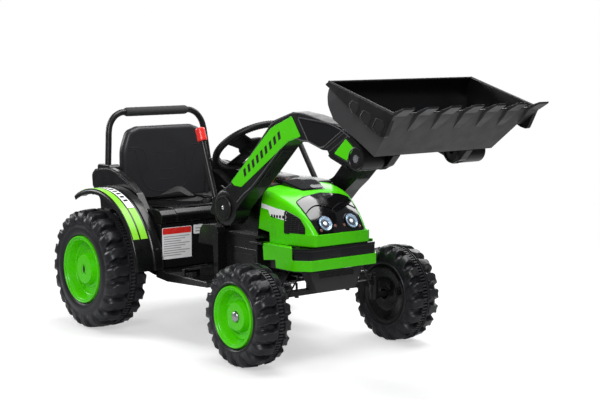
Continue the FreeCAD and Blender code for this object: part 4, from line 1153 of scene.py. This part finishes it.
def make_window(surface):
    """A raised dark frame on top of the bonnet with a smoked pane, and small parts showing under it."""
    piece = Piece("bonnet_window_frame")
    outline = rounded([(521, -65, 6), (606, -39, 12), (609, 0, 100), (606, 39, 12), (521, 65, 6)], 6)
    frame_part = patch(outline, 460, axis="z", pitch=6)
    drape(frame_part, surface, (0, 0, -1), 1.0)
    for vertex in frame_part.verts:
        vertex.co.z += 9 * MM * smooth(centre_x(vertex.co), 600, 525)
    piece.add(thickened(frame_part, 6), GLOSS_BLACK)
    piece.done("chassis", "black_plastic", "bonnet_window")
    pane = Piece("bonnet_window_pane")
    rim = inset(outline, 6)
    part = patch(rim, 460, axis="z", pitch=6)
    drape(part, surface, (0, 0, -1), 3.0)
    for vertex in part.verts:
        vertex.co.z += 9 * MM * smooth(centre_x(vertex.co), 600, 525)
    pane.add(thickened(part, 1.2), SMOKED)
    pane.done("chassis", "smoked_glass")
    parts = Piece("window_fittings")
    for x, y, long, wide, finish in ((552, -18, 13, 6, RED), (552, 4, 10, 4, WHITE),
                                     (576, -8, 6, 12, STICKER_GREY)):
        shape = [(x - long, y - wide), (x + long, y - wide), (x + long, y + wide), (x - long, y + wide)]
        part = patch(rounded(shape, 2), 460, axis="z", pitch=6)
        drape(part, surface, (0, 0, -1), 1.6)
        for vertex in part.verts:
            vertex.co.z += 9 * MM * smooth(centre_x(vertex.co), 600, 525)
        parts.add(thickened(part, 0.6), finish)
    parts.done("chassis", "red_plastic")


def span_at(outline, z):
    """Where a level line enters and leaves an outline."""
    crossings = []
    for first, second in zip(outline, outline[1:] + outline[:1]):
        if (first[1] - z) * (second[1] - z) < 0:
            t = (z - first[1]) / (second[1] - first[1])
            crossings.append(first[0] + (second[0] - first[0]) * t)
    return (min(crossings), max(crossings)) if len(crossings) > 1 else None


def make_vents(surface):
    piece = Piece("vent_grilles")
    for sign in (-1, 1):
        way = (0, -sign, 0)
        outline = rounded([(624, 374, 6), (627, 316, 4), (688, 315, 6), (685, 334, 8), (668, 356, 14)], 4)
        part = patch(outline, sign * 200, pitch=6)
        piece.add(thickened(drape(part, surface, way, 0.9), 0.8), MATT_BLACK)
        border = patch_ring(surface, outline, way, 1.0)
        piece.add(tube(border, 1.1, 6, closed=True), BODY_BLACK)
        level = 320
        while level < 370:
            found = span_at([(point[0], point[1]) for point in outline], level)
            if found and found[1] - found[0] > 8:
                line = []
                for step in range(9):
                    x = found[0] + 2 + (found[1] - found[0] - 4) * step / 8
                    hit = surface.ray_cast(at(x, sign * 200, level), Vector(way))[0]
                    if hit is not None:
                        line.append(hit + Vector((0, sign, 0)) * 1.3 * MM)
                piece.add(tube(line, 1.0, 6), DARK_GREY)
            level += 5
        for number in range(4):
            x = 636 + number * 11
            upper = [at(x, sign * 200, z) for z in range(318, 372, 6)]
            line = []
            for point in upper:
                found = span_at([(p[0], p[1]) for p in outline], point.z / MM)
                if not found or not found[0] + 3 < x < found[1] - 3:
                    continue
                hit = surface.ray_cast(point, Vector(way))[0]
                if hit is not None:
                    line.append(hit + Vector((0, sign, 0)) * 1.2 * MM)
            if len(line) > 2:
                piece.add(tube(line, 0.8, 6), DARK_GREY)
    piece.done("chassis", "matte_black_plastic", "side_vents")


def patch_ring(surface, outline, way, lift):
    ring = []
    for x, z in outline:
        hit, normal, _, _ = surface.ray_cast(at(x, -way[1] * 200, z), Vector(way))
        if hit is not None:
            ring.append(hit - Vector(way) * lift * MM)
    return ring


def make_bumper():
    """The green lower nose: side panels, a band across the front, and a dark insert above it."""
    low, high = node_box("bumper")
    half, front, foot, top = high.y, high.x, low.z, high.z
    piece = Piece("bumper_shell")
    plan = [(672, -half, 0), (691, -half, 10), (front, -107, 8), (front, 107, 8), (691, half, 10),
            (672, half, 0)]
    outer = rounded(plan, 6)
    strip = list(outer) + list(inset(outer, 6)[::-1])
    piece.add(prism(strip, foot + 1, foot + 28, axis="z", bevel=2.2, steps=3), GREEN)
    for sign in (-1, 1):
        panel = [(548, top - 0.5, 1), (548, top - 5, 1), (565.5, top - 6, 1), (569.5, 243, 3),
                 (617, 249.5, 3), (620, foot + 1, 4), (682, foot + 1, 0), (682, foot + 20, 0),
                 (685, foot + 28, 0), (681, top - 0.5, 1)]
        low_y, high_y = sorted((sign * (half - 5), sign * (half - 0.1)))
        piece.add(prism(rounded(panel, 2), low_y, high_y, bevel=0.8, steps=2), GREEN)
        ledge = [(548, sign * (half - 22)), (655, sign * (half - 22)), (681, sign * (half - 4)),
                 (681, sign * half), (548, sign * half)]
        piece.add(prism(ledge, top - 3.5, top - 0.4, axis="z", bevel=1), GREEN)
    piece.done("chassis", "green_plastic", "bumper")
    insert = Piece("bumper_grille")
    plan = [(684, 1 - half, 0), (690, 2 - half, 8), (front - 3, -104, 6), (front - 3, 104, 6),
            (690, half - 2, 8), (684, half - 1, 0)]
    outer = rounded(plan, 6)
    strip = list(outer) + list(inset(outer, 5)[::-1])
    insert.add(prism(strip, foot + 26, top - 1, axis="z", bevel=1.5, steps=3), GLOSS_BLACK)
    lens = [(front - 3.4, -64), (front - 2.4, -60), (front - 2.4, -12), (front - 3.4, -8)]
    insert.add(prism(lens, foot + 33, top - 12, axis="z", bevel=0.6), SMOKED)
    for z in (foot + 31, top - 8):
        line = [at(point[0] + 0.2, point[1], z) for point in outer[2:-2]]
        insert.add(tube(line, 0.8, 6), MATT_BLACK)
    insert.done("chassis", "matte_black_plastic", "bumper_insert")


def make_under_nose():
    """The skid plate with its row of slots, the front frame, and the axle beam with bolts and stays."""
    face = node_box("skid_plate")[1].x
    extras = []
    for number in range(5):
        y = -46 + number * 23
        slot = [(y - 9.5, 204), (y + 9.5, 204), (y + 9.5, 216), (y - 9.5, 216)]
        extras.append((prism(rounded(slot, 2), face - 1, face + 0.5, axis="x"), MATT_BLACK))
        extras.append((bead(rounded(slot, 2), face + 0.3, 1.0, axis="x"), DARK_GREY))
    for sign in (-1, 1):
        extras.append((tube([at(face - 2, sign * 68, 172), at(face - 2, sign * 78, 219)], 2.2, 8), DARK_GREY))
    eased("skid_plate", "skid_guard", "dark_grey_plastic", SHELL_GREY, 2.5, extras)
    eased("front_frame", "front_support", "black_plastic", BODY_BLACK, 3)
    extras = []
    for sign in (-1, 1):
        bolt = at(640, sign * 85, 150)
        shank = [(0, 0), (0, 5.5), (4, 5.5), (4, 3), (38, 3), (38, 0)]
        extras.append((turned(shank, bolt, (0, 0, 1), 12), BODY_BLACK))
        washer = [(12, 3), (12, 9), (14, 9), (14, 3)]
        extras.append((turned(washer, bolt, (0, 0, 1), 24), BODY_BLACK))
        for x in (628, 672):
            path = curve_through([at(x, sign * 96, 226), at(x + 4, sign * 112, 205),
                                  at(x - 2, sign * 128, 176), at(x, sign * 140, 158)], 7)
            extras.append((tube(path, 2.4, 8), BODY_BLACK))
    eased("front_axle_beam", "front_axle", "black_paint", POWDER, 1.5, extras)
    eased("tie_rod", "track_rod", "steel", STEEL, 1.5)
    for side in SIDES:
        eased("knuckle_%s" % side, "steering_knuckle_%s_body" % side, "black_paint", POWDER, 1.0)


# ---------------------------------------------------------------- steering

def make_steering():
    """A ribbed ring, three broad spokes and a padded centre, built on the column's axis."""
    normal = Vector(JOINTS["steering_turn"]["axis"]).normalized()
    if normal.z < 0:
        normal = -normal
    left = Vector((0, 1, 0))
    ahead = left.cross(normal).normalized()
    low, high = node_box("steering_wheel")
    hub_low, hub_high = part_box("horn_button")
    hub = (hub_low + hub_high) / 2
    centre = hub - normal * 2 * MM
    radius = (high.y - low.y) / 2 - 9.6

    def local(u, v, w):
        return centre + (ahead * u + left * v + normal * w) * MM

    rows = []
    columns = 180
    for number in range(columns):
        angle = math.tau * number / columns
        knurl = 0.55 * math.cos(number * math.pi)
        row = []
        for step in range(14):
            turn = math.tau * step / 14
            grip = 9.3 + (knurl if math.sin(turn) < 0.8 else 0)
            out = radius + grip * math.cos(turn)
            row.append(local(out * math.cos(angle), out * math.sin(angle), grip * math.sin(turn)))
        rows.append(row)
    piece = Piece("steering_wheel_rim")
    piece.add(skin(rows, closed=True, looped=True), MATT_BLACK)
    for degrees, wide_in, wide_out in ((65, 24, 27), (-65, 24, 27), (180, 20, 22)):
        angle = math.radians(degrees)
        along = Vector((math.cos(angle), math.sin(angle)))
        across = Vector((-along.y, along.x))
        spoke_rows = []
        for step in range(9):
            t = step / 8
            reach = 33 + (radius - 35) * t
            wide = wide_in + (wide_out - wide_in) * math.sin(t * math.pi / 2)
            flare = 5 * t ** 3
            drop = 9 - 8 * t
            row = []
            for u, w in ((-1, 0), (-0.85, 3.4), (0, 4.6), (0.85, 3.4), (1, 0), (0.8, -4), (-0.8, -4)):
                place = along * reach + across * u * (wide + flare)
                row.append(local(place.x, place.y, w - drop + 5))
            spoke_rows.append(row)
        piece.add(skin(spoke_rows, closed=True, ends=True), MATT_BLACK)
    pad = [(-26, 15), (-12, 24), (-9, 36), (-3, 39), (2, 37.5), (3.5, 34), (3.5, 31.5), (-1.5, 31), (-2, 0)]
    piece.add(turned(pad, centre, normal, 56), MATT_BLACK)
    sleeve = [(-42, 13), (-40, 15.5), (-24, 16), (-20, 19)]
    piece.add(turned(sleeve, centre, normal, 40), BODY_BLACK)
    piece.done("steering", "matte_black_plastic", "steering_wheel", crease=50)
    cap = Piece("horn_pad")
    dome = [(1.4, 29.6), (6.4, 29.2), (8.4, 27), (9.6, 20), (10.0, 10), (10.0, 0)]
    cap.add(turned(dome, centre, normal, 56), DARK_GREY)
    ring = [(9.0, 20), (10.6, 19.4), (10.6, 18), (9.2, 17.4)]
    cap.add(turned(ring, centre, normal, 56), STEEL)
    bars = []
    for number in range(-1, 2):
        bars.append([local(-7 + number * 6, -8, 10.3), local(-7 + number * 6, 8, 10.3)])
    for bar in bars:
        cap.add(tube(bar, 1.1, 6), BODY_BLACK)
    cap.done("horn", "black_plastic", "horn_button")


# ---------------------------------------------------------------- loader

ARM_OUTLINE = [
    (ARM_PIVOT_X - 40, ARM_PIVOT_Z - 24, 20), (ARM_PIVOT_X - 68, ARM_PIVOT_Z - 20, 16),
    (ARM_PIVOT_X - 46, ARM_PIVOT_Z + 23, 30), (ARM_PIVOT_X - 11, ARM_PIVOT_Z + 43, 40),
    (ARM_PIVOT_X + 28, ARM_PIVOT_Z + 58, 40), (644, 567, 40), (682, 604, 24), (760, 629, 14), (818, 623, 30),
    (921, 605, 40), (975, 583, 26), (BUCKET_PIN_X + 20, BUCKET_PIN_Z + 22, 12),
    (BUCKET_PIN_X - 5, BUCKET_PIN_Z - 28, 16), (958, 514, 20), (894, 534, 6), (888, 545, 6), (869, 545, 20),
    (818, 560, 20), (795, 560, 20), (765, 567, 24), (727, 546, 60), (599, 428, 60), (562, 400, 40),
    (ARM_PIVOT_X + 32, ARM_PIVOT_Z - 18, 24), (ARM_PIVOT_X + 5, ARM_PIVOT_Z - 42, 24),
]
ARM_PANEL = [(513, 442, 3), (526, 433.5, 3), (556, 432, 6), (744, 557, 30), (791, 572, 3), (757, 618.5, 3),
             (690, 592, 14), (674, 584, 14)]
ARM_BEAD = [(536, 392), (566, 416), (600, 438), (664, 494), (727, 549.5), (752, 562), (772, 566.5),
            (796, 563), (818, 562.5), (858, 551), (876, 552)]
ARM_UPPER_BEAD = [(470, 428), (506, 434), (640, 558), (680, 596), (742, 620), (766, 626), (815, 624),
                  (920, 601), (968, 580)]
ARM_WINDOW = [(779, 617, 4), (819, 561, 8), (858, 550, 14), (877, 554, 10), (944, 597, 3), (937, 606, 3)]
ARM_BADGE = [(954, 576, 2), (982, 556, 2), (958, 527, 2), (914, 540, 2)]


def make_arm(side):
    """One cranked loader arm with its pivot bosses, beads and side window."""
    sign = SIDES[side]
    inner, outer = 144, 194

    def across(near, far):
        return sorted((sign * near, sign * far))

    piece = Piece("arm_beam_%s" % side)
    piece.add(prism(rounded(ARM_OUTLINE, 10), *across(inner, outer), bevel=4, steps=3), BLACK)
    for number in range(7):
        y = sign * (inner + 7 + number * 6)
        rib = [at(x + 0.6, y, z - 0.6) for x, z in ((606, 434), (640, 465), (680, 503), (716, 536))]
        piece.add(tube(rib, 1.6, 6), BLACK)
    pivot = at(ARM_PIVOT_X, 0, ARM_PIVOT_Z)
    hub = [(inner, 8.6), (inner, 43), (inner + 3, 46), (outer - 3, 46), (outer, 43), (outer + 0.6, 36),
           (outer + 0.6, 8.6)]
    piece.add(turned([(sign * along, out) for along, out in hub], pivot, segments=56), BLACK)
    tip = at(BUCKET_PIN_X, 0, BUCKET_PIN_Z)
    boss = [(130, 6.6), (130, 26), (132, 28), (outer, 28), (outer + 2.4, 26.6), (outer + 3, 24.5),
            (outer + 1.2, 23), (outer + 1.2, 12), (outer + 0.4, 11), (outer + 0.4, 6.6)]
    piece.add(turned([(sign * along, out) for along, out in boss], tip, segments=56), BLACK)
    face = sign * outer
    # the beads and the window outline are light grey: a painted highlight on the arm's raised edges
    lower = curve_through([at(x, face, z) for x, z in ARM_BEAD], 5)
    piece.add(tube(lower, 1.5, 6), HIGHLIGHT_GREY)
    upper = curve_through([at(x, face, z) for x, z in ARM_UPPER_BEAD], 5)
    piece.add(tube(upper, 1.5, 6), HIGHLIGHT_GREY)
    piece.add(bead(rounded(ARM_WINDOW, 4), face, 1.3), HIGHLIGHT_GREY)
    window = inset(rounded(ARM_WINDOW, 4), 3)
    piece.add(prism(window, *across(outer - 0.5, outer + 0.5), bevel=0.4), GLOSS_BLACK)
    for start, end in (((882, 549), (952, 592)), ((893, 541), (962, 583))):
        piece.add(tube([at(start[0], face, start[1]), at(end[0], face, end[1])], 1.2, 6), DARK_GREY)
    piece.add(bead(rounded(inset(rounded(ARM_BADGE, 2), -3), 2), face, 1.1), DARK_GREY)
    lip = [(889, 536), (905, 533), (955, 515), (960, 508), (900, 528)]
    piece.add(prism(rounded(lip, 2), *across(inner - 2, outer + 1), bevel=1), BLACK)
    piece.done("loader_arms", "black_plastic", "loader_arm_%s" % side, crease=42)


def make_arm_trim():
    """The arms' green side panels with slanted bars, and the pivot caps."""
    panels = Piece("arm_side_panels")
    for sign in SIDES.values():
        face = 194 * sign
        low, high = sorted((face, face + sign * 1.3))
        panels.add(prism(rounded(ARM_PANEL, 3), low, high, bevel=0.5), GREEN)
        panels.add(prism(rounded(ARM_BADGE, 2), low, high, bevel=0.5), GREEN)
        low, high = sorted((face + sign * 1.2, face + sign * 1.7))
        start, end = Vector((574, 461)), Vector((712, 560))
        along = (end - start).normalized()
        up = Vector((-along.y, along.x))
        slant = up * 0.94 + along * 0.34
        count = 9
        for number in range(count):
            foot = start + (end - start) * number / (count - 1)
            wide = along * 5.2
            mark = [foot - wide, foot + wide, foot + wide + slant * 19, foot - wide + slant * 19]
            panels.add(prism([tuple(point) for point in mark], low, high), MATT_BLACK)
    panels.done("loader_arms", "green_plastic", "arm_panels")
    caps = Piece("pivot_covers")
    for sign in SIDES.values():
        centre = at(ARM_PIVOT_X, 0, ARM_PIVOT_Z)
        disc = [(194, 31), (197.5, 31), (199.2, 29.5), (199.4, 27.4), (198, 26.6), (198, 25.4), (199.6, 24.6),
                (200, 12), (199, 10.5), (199, 0)]
        caps.add(turned([(sign * along, out) for along, out in disc], centre, segments=56), BLACK)
        ring = [(198.6, 28.4), (199.9, 27.8), (199.9, 26.9), (198.6, 26.4)]
        caps.add(turned([(sign * along, out) for along, out in ring], centre, segments=56), DARK_GREY)
        caps.add(screw(at(ARM_PIVOT_X, sign * 199, ARM_PIVOT_Z), (0, sign, 0), 5), STEEL)
    caps.done("loader_arms", "black_plastic", "pivot_caps")


BUCKET_LEVER_LEAN = 20.9    # degrees back from upright
ARM_LEVER_LEAN = 36


def make_knob(node, name, body):
    """A hand knob along its lever: a rounded, slightly waisted grip."""
    low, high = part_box(node)
    top = Vector((low.x + high.x, low.y + high.y, low.z + high.z)) / 2
    lean = math.radians(BUCKET_LEVER_LEAN if node.startswith("bucket") else ARM_LEVER_LEAN)
    direction = Vector((-math.sin(lean), 0, math.cos(lean)))
    profile = [(-20, 8.2), (-20, 11.2), (-18.6, 12.8), (-14, 13.2), (0, 12.6), (9, 13.2), (13.6, 13),
               (15.6, 11.6), (16.2, 8), (16.3, 0)]
    knob = Piece(name)
    knob.add(turned(profile, top, direction, 40), RED)
    knob.done(body, "red_plastic", node)


def make_levers():
    """Both hand levers with their knobs."""
    make_knob("bucket_lever_knob", "tilt_lever_knob", "bucket_lever")
    make_knob("arm_lever_knob", "lift_lever_knob", "loader_arms")
    low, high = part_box("bucket_lever")
    pivot = Vector(JOINTS["bucket_lever_pull"]["pos_m"])
    pivot.y = (low.y + high.y) / 2
    lean = math.radians(BUCKET_LEVER_LEAN)
    direction = Vector((-math.sin(lean), 0, math.cos(lean)))
    boot = [(34, 7.6), (34, 11), (60, 11.4), (96, 9.8), (100, 9), (101, 7.6)]
    sleeve = (turned(boot, pivot, direction, 28), BODY_BLACK)
    eased("bucket_lever", "tilt_lever", "black_paint", POWDER, 0.8, [sleeve])
    eased("arm_lever", "lift_lever", "black_paint", POWDER, 0.8)


# ---------------------------------------------------------------- bucket

BUCKET_BACK = [(938, 706), (924, 672), (933, 620), (1002, 573), (1044, 541)]
BUCKET_LIP = (1151, 641)


def bucket_half(z):
    """The bucket narrows towards its foot."""
    foot_z, full_z, foot_half, full_half = 539, 650, 188, 224
    return foot_half + (full_half - foot_half) * min(1, max(0, (z - foot_z) / (full_z - foot_z)))


def make_bucket():
    """The bucket's curved sheet, its cheeks and its lining."""
    profile = curve_through([(x, 0, z) for x, z in BUCKET_BACK[:3]], 5)[:-1]
    profile += curve_through([(x, 0, z) for x, z in BUCKET_BACK[2:]], 4)
    lip = Vector((BUCKET_LIP[0], 0, BUCKET_LIP[1]))
    foot = profile[-1]
    profile += [foot + (lip - foot) * step / 8 for step in range(1, 9)]
    rows = []
    for point in profile:
        half = bucket_half(point.z)
        rows.append([at(point.x, -half + 2 * half * step / 16, point.z) for step in range(17)])
    shell = skin(rows)
    sides = bmesh.new()
    for sign in (-1, 1):
        ring = [at(point.x, sign * bucket_half(point.z), point.z) for point in profile]
        top_line = [at(BUCKET_LIP[0] + (938 - BUCKET_LIP[0]) * t, sign * 224,
                       BUCKET_LIP[1] + (706 - BUCKET_LIP[1]) * t) for t in (0.25, 0.5, 0.75)]
        sides.faces.new([sides.verts.new(point) for point in ring + top_line])
    mesh = bpy.data.meshes.new("sides")
    sides.to_mesh(mesh)
    sides.free()
    shell.from_mesh(mesh)
    bpy.data.meshes.remove(mesh)
    bmesh.ops.remove_doubles(shell, verts=shell.verts, dist=1e-5)
    bmesh.ops.recalc_face_normals(shell, faces=shell.faces)
    centre = at(1020, 0, 640)
    towards = sum((face.normal.dot(face.calc_center_median() - centre) for face in shell.faces))
    if towards < 0:
        bmesh.ops.reverse_faces(shell, faces=shell.faces)
    bmesh.ops.triangulate(shell, faces=[face for face in shell.faces if len(face.verts) > 4])
    lining = shell.copy()
    for vertex in lining.verts:
        vertex.co += -vertex.normal * 4.5 * MM
    bmesh.ops.reverse_faces(lining, faces=lining.faces)
    piece = Piece("bucket_shell")
    piece.add(shell, SHELL_GREY)
    piece.add(lining, BLACK)
    for sign in (-1, 1):
        low, high = sorted((sign * 222, sign * 233))
        cheek = [(938, 706, 2), (925, 700, 4), (944, 690, 2), (1088, 602, 6), (1104, 594, 8), (1125, 589, 10),
                 (1153, 641, 2)]
        piece.add(prism(rounded(cheek, 2), low, high, bevel=2, steps=2), BLACK)
        # the side rail is dark grey, lighter than the black cheek: a painted highlight along the bucket's top
        # edge
        rail = [at(934, sign * 228, 706.0), at(1153, sign * 228, 642)]
        piece.add(tube(rail, 3.2, 10), DARK_GREY)
        face = sign * 233
        for window in ([(1009, 657), (1021, 667), (1040, 661), (1043, 653), (1030, 637), (1021, 636)],
                       [(1045, 632), (1058, 647), (1080, 640), (1085, 632), (1072, 611), (1060, 614)],
                       [(1086, 611), (1100, 632), (1121, 626), (1126, 617), (1112, 596), (1100, 596)]):
            # raised window outlines, coloured dark grey, lighter than the cheek, as a painted highlight on
            # their edges
            piece.add(bead(rounded(window, 4), face, 1.1), DARK_GREY)
            low, high = sorted((face - sign * 0.6, face + sign * 0.2))
            piece.add(prism(inset(rounded(window, 4), 2), low, high), MATT_BLACK)
    back_rail = [at(937, -226, 705.4), at(937, 226, 705.4)]
    piece.add(tube(back_rail, 3.2, 10), BLACK)
    add_teeth(piece)
    add_lugs(piece)
    piece.done("bucket", "black_plastic", "bucket", crease=35)


def add_teeth(piece):
    """Seven wedge teeth on the lip, each with a rib that fades down the front plate."""
    count, width, reach = 7, 38, 233
    pitch = (2 * reach - width) / (count - 1)
    slope = (Vector(BUCKET_LIP) - Vector(BUCKET_BACK[-1])).normalized()
    out = Vector((slope.y, -slope.x))
    for number in range(count):
        left = -reach + pitch * number
        tooth = bmesh.new()
        rings = []
        for down, thick, narrow in ((0, 5, 0), (14, 6, 1), (34, 4, 5), (58, 0.2, 11)):
            base = Vector(BUCKET_LIP) - slope * down
            low_y, high_y = left + narrow, left + width - narrow * 0.6
            crest = base + out * thick
            rings.append([at(base.x, low_y, base.y), at(crest.x, low_y + 2, crest.y),
                          at(crest.x, high_y - 2, crest.y), at(base.x, high_y, base.y)])
        tip = [at(1185, left + 2, 657), at(1184, left + 2, 652.5), at(1184, left + width - 2, 652.5),
               at(1185, left + width - 2, 657)]
        root = [at(1150, left, 645.5), at(1154, left, 636.5), at(1154, left + width, 636.5),
                at(1150, left + width, 645.5)]
        tooth_rows = [root, tip]
        tooth.free()
        wedge = skin(tooth_rows, closed=True, ends=True)
        soften(wedge, 1.2, 2, 30)
        piece.add(wedge, DARK_GREY)
        piece.add(skin(rings, ends=False), SHELL_GREY)
        if number < count - 1:
            gap = [(left + width, 640), (left + pitch, 640)]
            path = [at(1152, gap[0][0], 641.8), at(1152, gap[1][0], 641.8)]
            piece.add(tube(path, 2.4, 8), DARK_GREY)


def add_lugs(piece):
    lug = [(964, 520, 14), (950, 606, 4), (1002, 573, 6), (1044, 541, 4), (1020, 515, 18), (991, 505, 24)]
    for sign in (-1, 1):
        low, high = sorted((sign * 107, sign * 128))
        piece.add(prism(rounded(lug, 8), low, high, bevel=1.6), BLACK)
        barrel = [(104, 22), (107, 27), (112, 28), (123, 28), (128, 26.5), (129, 22)]
        centre = at(BUCKET_PIN_X, 0, BUCKET_PIN_Z)
        piece.add(turned([(sign * along, out) for along, out in barrel], centre, segments=40), BLACK)
        for y in (113, 118, 123):
            ring = [(y - 1, 27.6), (y, 29), (y + 1, 27.6)]
            piece.add(turned([(sign * along, out) for along, out in ring], centre, segments=40), BLACK)


# ---------------------------------------------------------------- what the CAD shape already gives

def finish_nodes():
    """CAD nodes whose shape is right get a better finish."""
    finishes = {
        "rear_axle": STEEL, "rear_axle_washers": STEEL, "drive_unit_right": BODY_BLACK,
        "drive_unit_left": BODY_BLACK, "battery": BODY_BLACK, "motor_controller": DARK_GREY,
        "pivot_pins": BODY_BLACK, "steering_column": POWDER, "arm_shaft": STEEL, "bucket_pins": STEEL,
    }
    for name, finish in finishes.items():
        mesh = frame["nodes"][name].data
        for number in range(len(mesh.materials)):
            mesh.materials[number] = finish
    extras = []
    for number in range(5):
        x = 334 + number * 11
        z = 199.5 + (x - 334) * 0.258
        extras.append((tube([at(x, -203, z), at(x, -173, z)], 1.4, 6), MATT_BLACK))
    eased("foot_pedal", "pedal_pad", "black_plastic", MATT_BLACK, 1.2, extras)


# ---------------------------------------------------------------- camera, floor and light

def make_camera():
    camera = bpy.data.objects.new("camera", bpy.data.cameras.new("camera"))
    bpy.context.scene.collection.objects.link(camera)
    azimuth, elevation, distance = math.radians(50.98), math.radians(6.81), 3.715
    target = at(547.9, 0.5, 383.8)
    away = Vector((math.sin(azimuth) * math.cos(elevation), -math.cos(azimuth) * math.cos(elevation),
                   math.sin(elevation)))
    camera.location = target + away * distance
    camera.rotation_euler = (-away).to_track_quat("-Z", "Y").to_euler()
    camera.data.lens = 85.91
    camera.data.sensor_width = 36
    camera.data.dof.use_dof = False
    bpy.context.scene.camera = camera


def make_floor():
    """A pale round floor that fades into the white background."""
    floor = bpy.data.meshes.new("floor")
    part = bmesh.new()
    bmesh.ops.create_circle(part, cap_ends=True, segments=96, radius=6)
    part.to_mesh(floor)
    part.free()
    floor = bpy.data.objects.new("floor", floor)
    floor.location = (0, 0, cad_box[0][2] - 0.0004)
    bpy.context.scene.collection.objects.link(floor)
    material, tree, shader = new_finish("floor_finish")
    cloud = texture(tree, "ShaderNodeTexNoise", 3, Detail=3)
    colours = ramp(tree, cloud.outputs["Fac"], [(0.3, (0.90, 0.90, 0.90)), (0.7, (0.93, 0.93, 0.93))])
    tree.links.new(colours.outputs["Color"], shader.inputs["Base Color"])
    shader.inputs["Roughness"].default_value = 0.7
    shader.inputs["Specular IOR Level"].default_value = 0.2
    where = tree.nodes.new("ShaderNodeTexCoord")
    length = tree.nodes.new("ShaderNodeVectorMath")
    length.operation = "LENGTH"
    tree.links.new(where.outputs["Object"], length.inputs[0])
    fade = tree.nodes.new("ShaderNodeMapRange")
    fade.inputs["From Min"].default_value = 0.8
    fade.inputs["From Max"].default_value = 2.0
    fade.inputs["To Min"].default_value = 0.5
    fade.inputs["To Max"].default_value = 0
    tree.links.new(length.outputs["Value"], fade.inputs["Value"])
    tree.links.new(fade.outputs["Result"], shader.inputs["Alpha"])
    floor.data.materials.append(material)


def make_light(name, place, power, size, size_y=None):
    light = bpy.data.lights.new(name, "AREA")
    light.energy = power
    light.shape = "RECTANGLE"
    light.size = size
    light.size_y = size_y or size
    made = bpy.data.objects.new(name, light)
    made.location = place
    made.rotation_euler = (Vector((0.05, 0, 0.3)) - Vector(place)).to_track_quat("-Z", "Y").to_euler()
    bpy.context.scene.collection.objects.link(made)


def make_studio():
    """A white backdrop, dimmer for light than for the camera, and five softboxes."""
    scene = bpy.context.scene
    scene.view_settings.view_transform = "Standard"
    world = bpy.data.worlds.new("studio")
    scene.world = world
    world.use_nodes = True
    tree = world.node_tree
    background = tree.nodes["Background"]
    path = tree.nodes.new("ShaderNodeLightPath")
    mix = tree.nodes.new("ShaderNodeMix")
    mix.data_type = "RGBA"
    mix.inputs["A"].default_value = (0.16, 0.165, 0.175, 1)
    mix.inputs["B"].default_value = (1, 1, 1, 1)
    tree.links.new(path.outputs["Is Camera Ray"], mix.inputs["Factor"])
    tree.links.new(mix.outputs["Result"], background.inputs["Color"])
    make_light("overhead_softbox", (0.1, 0.45, 2.9), 105, 2.0, 2.2)
    make_light("far_softbox", (-0.6, 2.8, 2.0), 35, 1.6, 1.2)
    make_light("backdrop_glow", (-2.3, 2.1, 1.3), 26, 2.6, 1.5)
    make_light("key_softbox", (2.0, -2.6, 2.2), 78, 1.3, 1.3)
    make_light("rear_softbox", (-2.6, -1.4, 1.5), 40, 1.2, 1.4)


# ---------------------------------------------------------------- build

for wheel_side in SIDES:
    make_tyre("rear", wheel_side, 20, 5)
    make_tyre("front", wheel_side, 18, 5)
    make_fender(wheel_side)
    make_armrest(wheel_side)
    make_arm(wheel_side)
make_roll_bar()
make_seat_back()
make_seat_cushion()
make_seat_belt()
make_seat_box()
make_tower()
make_dashboard()
make_bonnet()
make_bumper()
make_under_nose()
make_steering()
make_arm_trim()
make_levers()
make_bucket()
finish_nodes()
make_camera()
make_floor()
make_studio()

bpy.context.view_layer.update()
